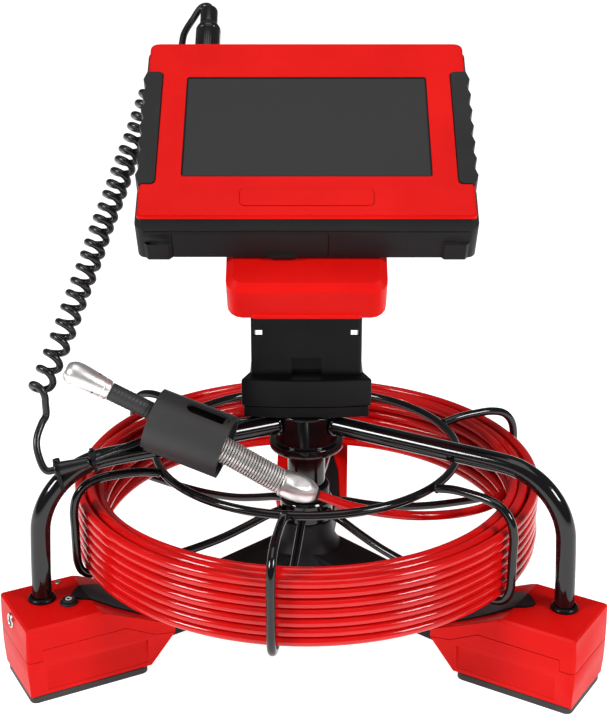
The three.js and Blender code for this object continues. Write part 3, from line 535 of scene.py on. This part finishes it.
CURL_TOP = laid(-104.4, 84, 368)
CURL_BOTTOM = laid(-170, -60, 196.2)
CURL_TURNS = 25
CURL_R, CORD_R = 5.8, 2.4
CURL_LOOSE = 1.7
SLEEVE_FROM, SLEEVE_TO = laid(-161, -83.4, 149.2), laid(-138.8, -79, 153.1)


def beside_tube(r, away, degrees):
    """A point beside the level run of the left tube.

    It is away from the tube's axis, at an angle from up towards the front.
    """
    front = math.radians(degrees)
    lateral = plane_point(-TUBE_ANGLE + 90, 1, 0)
    return plane_point(-TUBE_ANGLE, r, TUBE_Z + away * math.cos(front)) + lateral * (away * math.sin(front))


def curl_share(n):
    """How far up the coils the nth turn is: the lowest turns are pulled further apart."""
    stretch = lambda m: m + CURL_LOOSE * (1 - math.exp(-m / 4))
    return stretch(n) / stretch(CURL_TURNS)


def curl(first, last):
    """The coiled cord's centre line between two of its turns."""
    run = CURL_TOP - CURL_BOTTOM
    across = laid(1, 0, 0)
    side = (across - run * (across.dot(run) / run.length_squared)).normalized()
    up = side.cross(run.normalized())
    seen_up = laid(0, math.sin(EYE_RISE), math.cos(EYE_RISE))
    line = []
    steps = int((last - first) * 28)
    for i in range(steps + 1):
        n = first + (last - first) * i / steps
        share = curl_share(n)
        fade = min(1, (CURL_TURNS - n + 0.02) / 0.8)
        sag = Vector((-3.5 * math.exp(-n / 4), 0, -7.5 * math.exp(-n / 5)))
        lift = (up + seen_up * (1.2 * math.exp(-n / 0.9))).normalized()
        sway = 1.2 * math.sin(math.pi * share) + 0.35 * math.sin(9 * share)
        a = 2 * math.pi * n
        r = CURL_R * fade * (1 + 0.03 * math.sin(5.1 * n))
        creep = 0.35 * math.sin(2.3 * n)
        line.append(CURL_BOTTOM + run * share + run.normalized() * creep + side * (r * math.cos(a) + sway)
                    + lift * (r * math.sin(a)) + sag)
    return line


def coiled_cord():
    middle = CURL_TURNS * 0.5
    back = (SLEEVE_FROM - SLEEVE_TO).normalized()
    lower = curl(0, middle)
    ahead = (lower[1] - lower[0]).normalized()
    tail = smooth_line([
        SLEEVE_FROM - back * 2, SLEEVE_FROM + back * 5 + Vector((0, 0, 1)), laid(-171.4, -79, 158.6),
        laid(-172.6, -74, 166.4), laid(-170, -66.5, 174.5), lower[0] - ahead * 5 - Vector((0, 0, 5)),
        lower[0]], 70)
    for name, line, bodies, hides in (
        ("coiled_cord_lower", tail[:-1] + lower, ("base", "mast"), ["cord_tail"]),
        ("coiled_cord_upper", None, ("mast", "monitor"), ["curly_cord", "cord_top"]),
    ):
        if line is None:
            upper = curl(middle, CURL_TURNS)
            line = upper + top_run(upper[-1])[1:]
        piece = tube(name, line, CORD_R, "cord_rubber", None, sides=14, stands_for=hides, sharp=60)
        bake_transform(piece)


def top_run(start):
    """From the end of the coils up and over into the plug."""
    u, v, w = -67, 126.6, -15
    return smooth_line([start, start + (CURL_TOP - CURL_BOTTOM).normalized() * 4,
                        mon(u - 20.4, v - 26, w - 15),
                        mon(u - 17.4, v - 15.2, w - 9), mon(u - 11.4, v - 6, w - 4),
                        mon(u - 5.4, v + 3.4, w - 1.4),
                        mon(u - 0.8, v + 2.6, w), mon(u, v, w), mon(u, v - 4, w)], 60)


push_cable()
coiled_cord()


# ---- camera head, spring and clip ----
TIP, HEAD_END = laid(-153.8, -62, 210.1), laid(-125.9, -62, 195)
NECK_END, SPRING_END, COUPLING_END = laid(-84.4, -62, 172.6), laid(-16.8, -62, 130.5), laid(6.2, -62, 121.7)
SPRING_R, SPRING_WIRE = 8.7, 0.7
CLIP_FROM, CLIP_TO = laid(-99.4, -56.4, 172.6), laid(-51.7, -67.6, 157.4)
CLIP_R, CLIP_WALL = 21.3, 2.4
CLIP_GAP = math.radians(20)
CLIP_DOWN, CLIP_UP = math.radians(-90 - 34), math.radians(90 + 10)


def camera_head():
    place = axis_place(TIP, HEAD_END)
    long = (HEAD_END - TIP).length
    shell = [(0, 3.6), (3.3, 3.6), (3.3, 0.4), (3.9, 0.35), (5.6, 1.4), (7.2, 3.4), (8.1, 6), (8.4, 9.4),
             (8.2, 14), (7.6, 21),
             (7.05, 26.4), (6.75, 26.6), (6.75, 27.1), (7.0, 27.3), (6.5, long), (0, long)]
    lathe("camera_head_body", eased(shell, 1.6), "brushed_steel", "base", place, 64,
          stands_for=["camera_head_shell"])
    dome = [(0, 0.55), (1.2, 0.62), (2.2, 0.85), (2.9, 1.35), (3.15, 2.2), (3.15, 3.4), (0, 3.4)]
    lathe("camera_lens_dome", dome, "lens_dark", "base", place, 32, stands_for=["camera_lens_window"])
    rings = []
    for k in range(6):
        a = math.radians(60 * k + 20)
        at = place @ Matrix.Translation((2.55 * math.cos(a), 2.55 * math.sin(a), 0.75))
        rings.append(lathe_shell([(0, -0.25), (0.35, -0.2), (0.42, 0.1), (0, 0.12)], 10, at))
    add_piece("lamp_ring", mesh_of("lamp_ring", *joined(rings)), "white_print", "base")
    for k in range(3):
        a = math.radians(120 * k - 60)
        out = Vector((math.cos(a), math.sin(a), 0))
        spot = out * 7.45 + Vector((0, 0, 21.5))
        turn = place @ Matrix.Translation(spot) @ out.to_track_quat("Z", "Y").to_matrix().to_4x4()
        lathe(f"head_set_screw_{k + 1}",
              [(0, -0.6), (0.75, -0.6), (0.75, 0.28), (0.4, 0.28), (0.4, -0.3), (0, -0.3)],
              "dark_recess", "base", turn, 12)
    ribbed_neck()
    spring_and_coupling()


def ribbed_neck():
    """A moulded sleeve with a shallow spiral rib, thinner towards the spring."""
    place = axis_place(HEAD_END, NECK_END)
    long = (NECK_END - HEAD_END).length
    rings, around = 110, 40
    points = []
    for i in range(rings + 1):
        z = 0.3 + (long - 0.6) * i / rings
        share = z / long
        base = 5.55 + 0.4 * (1 - share) ** 0.6
        for k in range(around):
            a = 2 * math.pi * k / around
            rib = 0.09 * math.sin(a + 2 * math.pi * z / 2.6) * min(1, z / 4) * min(1, (long - z) / 3)
            points.append(place @ Vector(((base + rib) * math.cos(a), (base + rib) * math.sin(a), z)))
    faces = [(i * around + k, i * around + (k + 1) % around, (i + 1) * around + (k + 1) % around,
              (i + 1) * around + k)
             for i in range(rings) for k in range(around)]
    faces += [tuple(range(around))[::-1], tuple(rings * around + k for k in range(around))]
    add_piece("neck_sleeve", mesh_of("neck_sleeve", points, faces), "black_clip", "base", ["flex_neck"])


def spring_and_coupling():
    place = axis_place(NECK_END, SPRING_END)
    long = (SPRING_END - NECK_END).length - 0.6
    turns = 40
    pitch = (long - 2 * SPRING_WIRE) / turns
    line = []
    for i in range(turns * 22 + 1):
        a = 2 * math.pi * i / 22
        r = SPRING_R - SPRING_WIRE
        line.append(place @ Vector((r * math.cos(a), r * math.sin(a), SPRING_WIRE + pitch * i / 22)))
    tube("spring_coils", line, SPRING_WIRE, "spring_steel", "base", sides=8, stands_for=["guide_spring"])
    # A dark cylinder filling the spring: painted shade seen between its turns.
    lathe("spring_inner_shade", [(0, 0.5), (7.4, 0.5), (7.4, long), (0, long)], "dark_recess", "base", place, 24)
    place = level_place(SPRING_END, COUPLING_END)
    end = (COUPLING_END - SPRING_END).length
    profile = eased([(0, 0), (8.6, 0), (9.1, 1.6), (9.3, 6), (9.5, 9), (9.3, 14), (8.4, 18.4), (6.8, 22),
                     (5, end - 0.4),
                     (4.4, end), (0, end)], 1.6)
    points, faces = lathe_shell(profile, 96)
    for p in points:
        for side in (Vector((-0.62, 0.78, 0)), Vector((0.62, -0.78, 0))):
            over = p.dot(side) - 8.3
            if 3 < p.z < 18 and over > 0:
                p -= side * over
    points = [place @ p for p in points]
    add_piece("coupling_body", mesh_of("coupling_body", points, faces), "brushed_steel", "base",
              ["end_coupling"], sharp=24)
    groove = [(3.2, end - 0.2), (3.9, end + 0.25), (3.9, end + 1.2), (3.3, end + 1.8)]
    lathe("coupling_bush", groove, "black_rubber", "base", place, 24)


def level_place(start, end):
    """Puts +Z from start towards end, with +Y as near to up as it goes and +X at the back."""
    run = (Vector(end) - Vector(start)).normalized()
    up = (Vector((0, 0, 1)) - run * run.z).normalized()
    return Matrix.Translation(start) @ Matrix((up.cross(run), up, run)).transposed().to_4x4()


def camera_clip():
    """A barrel open along its lower front, on a saddle on the left tube.

    It has an eased slot on top and two inner ribs.
    """
    place = level_place(CLIP_FROM, CLIP_TO)
    long = (CLIP_TO - CLIP_FROM).length
    inner = CLIP_R - CLIP_WALL
    shell = arc_ring(place, CLIP_DOWN, CLIP_GAP, inner, CLIP_R, 0, long, 96)
    shell = add_piece("clip_barrel", mesh_of("clip_barrel", *shell), "black_clip", None)
    low, high, half = 24.4, 44, 5.2
    outline = [(half * math.cos(a),
                high + half * math.sin(a)) for a in (math.pi * i / 12 for i in range(13))]
    outline += [(-half * math.cos(a),
                 low - half * math.sin(a)) for a in (math.pi * i / 12 for i in range(13))]
    out, across = Vector((math.cos(CLIP_UP), math.sin(CLIP_UP),
                          0)), Vector((-math.sin(CLIP_UP), math.cos(CLIP_UP), 0))
    points = [place @ (out * height + across * x + Vector((0, 0, z))) for height in (8, 30) for x,
              z in outline]
    n = len(outline)
    faces = [tuple(range(n))[::-1], tuple(n + k for k in range(n))]
    faces += [(k, (k + 1) % n, n + (k + 1) % n, n + k) for k in range(n)]
    cut(shell, mesh_of("slot_cut", points, faces))
    softened(shell, 0.7, 3, 35)
    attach(shell, "base")
    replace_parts(shell, "camera_clip")
    for k, z in enumerate((9, long - 6)):
        web = arc_ring(place, CLIP_DOWN, CLIP_GAP + math.radians(8), 3, inner + 0.4, z, z + 3)
        web = add_piece(f"clip_rib_{k + 1}", mesh_of("clip_rib", *web), "black_clip", None)
        passage = lathe_shell([(0, -60), (SPRING_R + 0.4, -60), (SPRING_R + 0.4, 90), (0, 90)], 40,
                              axis_place(NECK_END, SPRING_END))
        cut(web, mesh_of("passage", *passage))
        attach(web, "base")
    on_tube = plane_point(-TUBE_ANGLE, 94.4, TUBE_Z)
    run = plane_point(-TUBE_ANGLE, 1, 0)
    lathe("clip_clamp", eased([(6.8, -10), (9.5, -10), (9.5, 10), (6.8, 10), (6.8, -10)], 0.8),
          "black_clip", "base",
          axis_place(on_tube, on_tube + run), 40)
    middle = (CLIP_FROM + CLIP_TO) / 2
    out = (middle - on_tube).normalized()
    tube("clip_saddle", [on_tube + out * 7.4, middle - out * (CLIP_R - 1.6)], 8, "black_clip", "base",
         sides=28)


def arc_ring(place, zero, half_gap, r0, r1, z0, z1, steps=48):
    """A flat C-shaped ring, open around the angle zero."""
    points, faces = [], []
    for k in range(steps + 1):
        a = zero + half_gap + (2 * math.pi - 2 * half_gap) * k / steps
        for r, z in ((r0, z0), (r1, z0), (r1, z1), (r0, z1)):
            points.append(place @ Vector((r * math.cos(a), r * math.sin(a), z)))
    for k in range(steps):
        for m in range(4):
            a, b = 4 * k + m, 4 * k + (m + 1) % 4
            faces.append((a, b, b + 4, a + 4))
    return points, [*faces, (0, 1, 2, 3), tuple(4 * steps + m for m in (3, 2, 1, 0))]


def cut(piece, mesh, operation="DIFFERENCE"):
    tool = bpy.data.objects.new("cutter", mesh)
    bpy.context.scene.collection.objects.link(tool)
    boolean = piece.modifiers.new("cut", "BOOLEAN")
    boolean.object, boolean.operation, boolean.solver = tool, operation, "EXACT"
    baked(piece)
    bpy.data.objects.remove(tool)
    return piece


camera_head()
camera_clip()


# ---- wiring on the left tube ----
def tube_wiring():
    place = axis_place(SLEEVE_FROM, SLEEVE_TO)
    long = (SLEEVE_TO - SLEEVE_FROM).length
    lathe("cord_sleeve", eased([(0, 0), (4.3, 0), (4.8, 1), (4.8, 3), (3.4, long - 3), (3.2, long - 1),
                                (2.6, long), (0, long)], 0.8),
          "cord_rubber", "base", place, 32, stands_for=["cable_sleeve"])
    reach, lift = (124, 110, 94, 72, 50, 30), (7.9, 9.2, 11.2, 9.2, 7.9, 7.9)
    for name, swing in (("lead_wire_front", (28, 8, -10, -26, -42, -52)),
                        ("lead_wire_back", (8, -8, -26, -42, -58, -68))):
        line = [beside_tube(r, away, a) for r, a, away in zip(reach, swing, lift)]
        line = [SLEEVE_TO.lerp(line[0], 0.03), SLEEVE_TO.lerp(line[0], 0.3) + Vector((0, 0, 0.4)), *line]
        tube(name, smooth_line(line, 70), LEAD_WIRE_R, "cord_rubber", "base", sides=14,
             stands_for=["signal_lead"] if "front" in name else [])
    for k, (share, turn) in enumerate(((0.1, -100), (1.12, -70))):
        cable_tie(k, share, turn)


def tube_bend(degrees):
    a = math.radians(degrees)
    return plane_point(-TUBE_ANGLE, 146 + 46 * math.cos(a), 103 + 46 * math.sin(a))


def cable_tie(k, share, turn):
    """A nylon tie pulled square round the sleeve and the tube's bend, with its ratchet head."""
    ahead = (SLEEVE_TO - SLEEVE_FROM).normalized()
    other = SLEEVE_FROM.lerp(SLEEVE_TO, share)
    middle = min((tube_bend(a) for a in range(40, 100)), key=lambda p: abs((p - other).dot(ahead)))
    middle -= ahead * (middle - other).dot(ahead)
    out = (other - middle).normalized()
    side = ahead.cross(out).normalized()
    far, other_r = (other - middle).length, 4.9 - 1.9 * share
    line = []
    for i in range(64):
        angle = 2 * math.pi * i / 64
        normal = out * math.cos(angle) + side * math.sin(angle)
        line.append((middle + normal * 6.6,
                     other + normal * other_r)[6.6 < far * math.cos(angle) + other_r] + normal * 0.1)
    line = resampled([*line, line[0]], 80)[:-1]
    points, faces, count = [], [], len(line)
    for i, p in enumerate(line):
        tangent = (line[(i + 1) % count] - line[i - 1]).normalized()
        normal = tangent.cross(ahead)
        normal *= math.copysign(1, normal.dot(p - middle.lerp(other, 0.5)))
        for w, t in ((-1.3, 0), (1.3, 0), (1.3, 1), (-1.3, 1)):
            points.append(p + ahead * w + normal * t)
    for i in range(count):
        for m in range(4):
            faces.append((4 * i + m, 4 * i + (m + 1) % 4, 4 * ((i + 1) % count) + (m + 1) % 4,
                          4 * ((i + 1) % count) + m))
    spin = math.radians(turn)
    normal = out * math.cos(spin) + side * math.sin(spin)
    head_axes = Matrix((normal.cross(ahead), ahead, normal)).transposed().to_4x4()
    grip = Matrix.Translation(other + normal * (other_r + 0.4)) @ head_axes
    shells = [(points, faces), box_shell(-2.1, 2.1, -2.3, 2.3, 0, 3.4, grip),
              box_shell(-0.5, 0.5, -1.3, 1.3, 3.4, 5.6, grip)]
    softened(add_piece(f"cable_tie_{k + 1}", mesh_of("tie", *joined(shells)), "black_smooth", "base"),
             0.25, 2)


tube_wiring()


# ---- base: legs, feet, column and tubes ----
def weld_bead(name, centre, direction, r, thick, body, look="black_enamel"):
    """A slightly uneven ring of weld round a bar."""
    random.seed(sum(map(ord, name)))
    direction = Vector(direction).normalized()
    side = direction.orthogonal().normalized()
    up = direction.cross(side)
    line = []
    for i in range(48):
        a = 2 * math.pi * i / 48
        wobble = 0.25 * math.sin(7 * a) + 0.12 * random.uniform(-1, 1)
        line.append(centre + side * ((r + 0.2 * wobble) * math.cos(a))
                    + up * ((r + 0.2 * wobble) * math.sin(a))
                    + direction * (0.4 * wobble))
    return tube(name, line, thick, look, body, sides=10, closed=True)


def tube_path(degrees):
    line = [(21.9, TUBE_Z), (60, TUBE_Z), (105, TUBE_Z)]
    line += [(146 + 46 * math.cos(math.radians(a)),
              103 + 46 * math.sin(math.radians(a))) for a in range(90, -1, -10)]
    line += [(193.3, 75), (194, 48)]
    return smooth_line([plane_point(degrees, r, z) for r, z in line], 110)


def base_frame():
    for side, degrees in (("left", -TUBE_ANGLE), ("right", TUBE_ANGLE)):
        tube(f"{side}_tube_bent", tube_path(degrees), 6.5, "black_enamel", "base", sides=36,
             stands_for=[f"{side}_frame_tube"], sharp=60)
        foot = plane_point(degrees, 194, 0)
        lathe(f"{side}_collar_ring",
              eased([(6.8, 56.6), (9.4, 56.6), (9.1, 58), (8.2, 59.2), (6.8, 59.6), (6.8, 56.6)], 0.6),
              "black_smooth", "base", Matrix.Translation(foot), 40, stands_for=[f"{side}_tube_collar"])
        weld_bead(f"{side}_tube_weld", plane_point(degrees, 22.3, TUBE_Z), plane_point(degrees, 1, 0),
                  6.8, 1.1, "base")
    cone = [(0, 20), (38, 20), (41, 26), (41, 38), (36, 43.4), (29, 49), (23.4, 55), (20, 61), (18.4, 67),
            (17.8, 74.6),
            (13.3, 74.6), (13.3, 41.7), (0, 41.7)]
    lathe("hub_cone", eased(cone, 2.4), "black_shell", "base", None, 64, stands_for=["base_hub"])
    lathe("column_pipe", eased([(9, 42), (13, 42), (13, 128.3), (9, 128.3), (9, 42)], 0.4),
          "black_enamel", "base", None, 64,
          stands_for=["column_tube"])
    hub = [(8.4, 128.6), (24.6, 128.6), (25.5, 129.6), (25.5, 134.4), (24.8, 135), (21.6, 135),
           (21.6, 155.8), (23.4, 155.8),
           (23.4, 157.6), (8.4, 157.6), (8.4, 128.6)]
    lathe("hub_drum", eased(hub, 0.7), "black_enamel", "base", None, 72, stands_for=["top_hub"])
    lathe("slip_ring_body", eased([(13.3, 91.3), (16, 91.3), (16, 100), (14.6, 101.5), (13.3, 101.5),
                                   (13.3, 91.3)], 0.6), "black_smooth",
          "base", None, 48, stands_for=["slip_ring"])
    for name, degrees in LEG.items():
        from_cad(f"leg_{name}", "black_shell", 2.2, 20)
        from_cad(f"{name}_foot_upper", "red_shell", 0.7, 18)
        from_cad(f"{name}_foot_lower", "red_shell", 0.6, 18)
        from_cad(f"{name}_foot_sole", "sole_rubber", 0.8, 30)
        leg_creases(name, degrees)
        foot_details(name, degrees)


def leg_creases(name, degrees):
    """Shallow ribs across the top of a leg, near the hub."""
    upright = Matrix.Rotation(math.radians(degrees), 4, "Z")
    shells = []
    for k in range(4):
        r = 46 + 4 * k
        top = 52.6 - 0.22 * (r - 30) - 0.1
        line = [upright @ Vector((x, -r, top - drop)) for x, drop in
                ((-16, 1.9), (-14.5, 0.6), (-12, 0), (0, 0), (12, 0), (14.5, 0.6), (16, 1.9))]
        shells.append(tube_shell(smooth_line(line, 24), 0.55, 10))
    add_piece(f"leg_ribs_{name}", mesh_of("ribs", *joined(shells)), "black_smooth", "base", sharp=60)


def foot_details(name, degrees):
    if name != "left":
        return
    upright = Matrix.Rotation(math.radians(degrees), 4, "Z")
    at = upright @ Matrix.Translation((-22, -177.5, 56.5))
    lamp = eased([(0, -1), (2.3, -1), (2.3, 0.3), (1.7, 0.8), (0, 0.95)], 0.3)
    add_piece("charge_lamp", mesh_of("lamp", *lathe_shell(lamp, 28, at)), "grey_screw", "base")
    power_button(upright)
    charge_socket(upright)


def power_button(upright):
    at = upright @ Matrix.Translation((6.5, -180, 0))
    cap = eased([(0, 54.2), (4.6, 54.2), (4.6, 59.2), (4.0, 59.9), (2.6, 59.5), (0, 59.3)], 0.7)
    lathe("button_cap", cap, "black_rubber", "power_button", at, 40, stands_for=["power_button"])
    lathe("button_rim", eased([(4.75, 55.4), (6.0, 56.5), (6.0, 57.2), (5.3, 57.9), (4.75, 57.7),
                               (4.75, 55.4)], 0.35), "black_rubber", "base", at, 40)
    arc = []
    for i in range(25):
        a = math.radians(90 + 35 + (360 - 70) * i / 24)
        arc.append(at @ Vector((1.75 * math.cos(a), 1.75 * math.sin(a), 59.52)))
    bar = [at @ Vector((0, y, 59.6)) for y in (0.4, 2.3)]
    shells = [tube_shell(arc, 0.34, 8), tube_shell(bar, 0.34, 8)]
    add_piece("button_symbol", mesh_of("symbol", *joined(shells)), "white_print", "power_button")


def charge_socket(upright):
    at = upright @ Matrix.Translation((-4, -217.6, 47.8)) @ Matrix.Rotation(math.radians(-90), 4, "X")
    lathe("socket_barrel", eased([(3.7, 8.6), (3.7, 0.5), (4.2, 0), (5, 0.3), (5, 11.6), (0, 11.6),
                                  (0, 8.6), (3.7, 8.6)], 0.3),
          "bright_steel", "base", at, 36, stands_for=["charge_socket"])
    lathe("socket_pin", eased([(0, 1.4), (0.7, 1.8), (0.9, 2.6), (0.9, 8.5), (0, 8.5)], 0.3),
          "bright_steel", "base", at, 20)


base_frame()


# ---- reel ----
REEL_REST = -5.5
HOOP_PATH = [
    (19.6, 82.6), (29, 80.4), (47, 74.2), (66, 68.6), (95, 63.6), (125, 61.3), (140, 60.8), (150, 60.6),
    (158, 61.4), (163, 64.8),
    (165.6, 72), (166, 84), (166, 97), (166, 111), (163.4, 120.5), (157, 127.4), (147, 130.6), (134, 131),
    (120, 130.2), (107.8, 127.6),
]
WIRE_R, RING_R, RING_Z = 2.9, 104.5, 127.5


def reel():
    lathe("reel_bearing", eased([(13.3, 75), (17.8, 75), (18.3, 76), (18.3, 89), (17, 91), (13.3, 91),
                                 (13.3, 75)], 0.6), "black_enamel",
          "reel", None, 64, stands_for=["reel_hub"])
    circle = [plane_point(360 * i / 160, RING_R, RING_Z) for i in range(160)]
    tube("ring_wire", circle, WIRE_R, "black_enamel", "reel", sides=24, closed=True,
         stands_for=["reel_ring"], sharp=60)
    for i in range(6):
        degrees = REEL_REST + 60 * i
        line = smooth_line([plane_point(degrees, r, z) for r, z in HOOP_PATH], 120)
        tube(f"hoop_wire_{i + 1}", line, WIRE_R, "black_enamel", "reel", sides=24,
             stands_for=[f"reel_hoop_{i + 1}"], sharp=60)
        hoop_weld(i, degrees)


def hoop_weld(i, degrees):
    """Lumps of weld where a hoop meets the ring and the bearing."""
    outward = plane_point(degrees, 1, 0)
    weld_bead(f"hoop_weld_{i + 1}", plane_point(degrees, 107.6, 127.6), outward + Vector((0, 0, 0.2)),
              2.7, 0.75, "reel")
    weld_bead(f"bearing_weld_{i + 1}", plane_point(degrees, 19.2, 82.6), outward - Vector((0, 0, 0.25)),
              2.9, 0.8, "reel")


reel()


# ---- mast ----
def mast():
    from_cad("swivel_block", "black_smooth", 1.3, 30)
    from_cad("block_jaw", "black_smooth", 0.8, 30)
    from_cad("mast_bracket", "black_steel", 0.9, 30)
    from_cad("tilt_pin", "grey_screw", 0.4, 40)


mast()


# ---- monitor ----
def monitor():
    from_cad("front_bezel", "red_shell", 0.7, 25)
    from_cad("screen_glass", "screen_dark", 0.25, 30)
    from_cad("lcd_panel", "black_smooth", 0, 30)
    from_cad("rear_shell", "black_shell", 0.6, 25, merge=False)
    from_cad("main_board", "board_green", 0, 30)
    from_cad("grip_left", "black_rubber", 0.5, 50)
    from_cad("grip_right", "black_rubber", 0.5, 50)
    from_cad("port_flap", "black_shell", 0.35, 30)
    from_cad("dock_plate", "red_shell", 0.9, 25)
    screen_shade_band()
    plug()


def screen_shade_band():
    """A thin near-black band between the bezel's lip and the panel, painted shade along the screen's edge;
    then the label plate with its ring.
    """
    outer_u, outer_v, inner_u, inner_v = 77.75, 43.75, 76.9, 42.9
    points, faces = [], []
    for w in (-0.95, -0.55):
        for u, v in ((outer_u, outer_v), (inner_u, inner_v)):
            for a, b in ((-1, -1), (1, -1), (1, 1), (-1, 1)):
                points.append(mon(a * u, b * v, w))
    for k in range(4):
        m = (k + 1) % 4
        faces += [(k, m, 4 + m, 4 + k), (8 + k, 12 + k, 12 + m, 8 + m), (k, 8 + k, 8 + m, m),
                  (4 + k, 4 + m, 12 + m, 12 + k)]
    # Near black all round: painted shade where the screen meets the bezel.
    add_piece("screen_shade_band", mesh_of("shade_band", points, faces), "dark_recess", "monitor")
    # A darker red ring just round the label plate: painted shadow at its edge.
    rim = rounded_plate(-41.3, 41.3, -68.2, -53.5, 3.6, -0.05, 0.05)
    add_piece("label_plate_shade_ring", mesh_of("rim", *rim), "red_shadow", "monitor")
    plate = rounded_plate(-40.9, 40.9, -67.8, -53.9, 3.2, -0.05, 0.42)
    softened(add_piece("label_plate", mesh_of("plate", *plate), "red_shell", "monitor"), 0.15, 2)


def rounded_plate(u0, u1, v0, v1, r, w0, w1, steps=8):
    ring = []
    for cx, cy, start in ((u1 - r, v0 + r, -90), (u1 - r, v1 - r, 0), (u0 + r, v1 - r, 90),
                          (u0 + r, v0 + r, 180)):
        for i in range(steps + 1):
            a = math.radians(start + 90 * i / steps)
            ring.append((cx + r * math.cos(a), cy + r * math.sin(a)))
    n = len(ring)
    points = [mon(x, y, w) for w in (w0, w1) for x, y in ring]
    faces = [tuple(range(n))[::-1], tuple(n + k for k in range(n))]
    return points, faces + [(k, (k + 1) % n, n + (k + 1) % n, n + k) for k in range(n)]


def plug():
    """A round multi-pin plug: a seat ring, a turning nut and a rounded cap."""
    place = axis_place(mon(-67, 0, -15), mon(-67, 1, -15))
    body = [(0, 66.6), (5, 66.6), (5, 109), (5.7, 109.2), (6, 110), (6, 123), (5.4, 124.7), (3.8, 125.4),
            (0, 125.4)]
    lathe("plug_body", eased(body, 0.9), "black_gloss", "monitor", place, 40, stands_for=["connector_plug"])
    lathe("plug_seat", eased([(6.5, 73), (9.6, 73), (9.6, 75), (9, 75.4), (6.5, 75.4), (6.5, 73)], 0.4),
          "black_smooth", "monitor", place, 40)
    nut = [(5.3, 76), (8.1, 76), (8.5, 76.8), (8.5, 79.6), (8.15, 79.9), (8.15, 80.7), (8.5, 81),
           (8.5, 100), (8.2, 100.3),
           (8.2, 101), (8.5, 101.3), (8.5, 104.4), (7.6, 106.6), (6.3, 109.2), (5.3, 109.4), (5.3, 76)]
    points, faces = lathe_shell(eased(nut, 0.3, 3), 144)
    for p in points:
        r = math.hypot(p.x, p.y)
        if r > 8.3 and 81.2 < p.z < 99.8:
            scale = (r + 0.06 * math.cos(36 * math.atan2(p.y, p.x))) / r
            p.x, p.y = p.x * scale, p.y * scale
    add_piece("nut_knurled", mesh_of("nut", [place @ p for p in points], faces), "black_gloss",
              "coupling_nut", ["coupling_nut"], sharp=30)


monitor()


# ---- inside the left foot ----
def hidden_pieces():
    from_cad("battery_pack", "cell_wrap", 1.0, 30)
    from_cad("control_board", "board_green", 0, 30)


hidden_pieces()


# ---- floor and light ----
def studio():
    mesh = bpy.data.meshes.new("floor")
    size = 30
    mesh.from_pydata([(-size, -size, 0), (size, -size, 0), (size, size, 0), (-size, size, 0)], [],
                     [(0, 1, 2, 3)])
    floor = bpy.data.objects.new("floor", mesh)
    bpy.context.scene.collection.objects.link(floor)
    m = Nodes("floor_paper", "black_plastic")
    m.set(Base_Color=m.mix(m.spread(m.noise(0.8, 2), 0, 1), (0.60, 0.60, 0.60), (0.62, 0.62, 0.62)),
          Roughness=0.75,
          Specular_IOR_Level=0.2, Emission_Color=(1, 1, 1), Emission_Strength=0.95)
    mesh.materials.append(LOOKS["floor_paper"])
    world = bpy.data.worlds.new("studio")
    world.use_nodes = True
    world.node_tree.nodes["Background"].inputs["Color"].default_value = (1, 1, 1, 1)
    world.node_tree.nodes["Background"].inputs["Strength"].default_value = 0.14
    bpy.context.scene.world = world
    area_light("left", (-1.3, -0.9, 1.1), (0, 0, 0.2), 0.45, 19)
    area_light("right", (1.3, -0.9, 1.1), (0, 0, 0.2), 0.45, 17)
    area_light("top", (0, -0.2, 2.0), (0, 0, 0.2), 1.4, 10)
    bpy.context.scene.view_settings.view_transform = "Standard"


def area_light(name, place, aim, size, power):
    data = bpy.data.lights.new(name, "AREA")
    data.shape, data.size, data.energy = "SQUARE", size, power
    light = bpy.data.objects.new(name, data)
    light.location = place
    light.rotation_mode = "QUATERNION"
    light.rotation_quaternion = (Vector(aim) - Vector(place)).to_track_quat("-Z", "Y")
    bpy.context.scene.collection.objects.link(light)


studio()
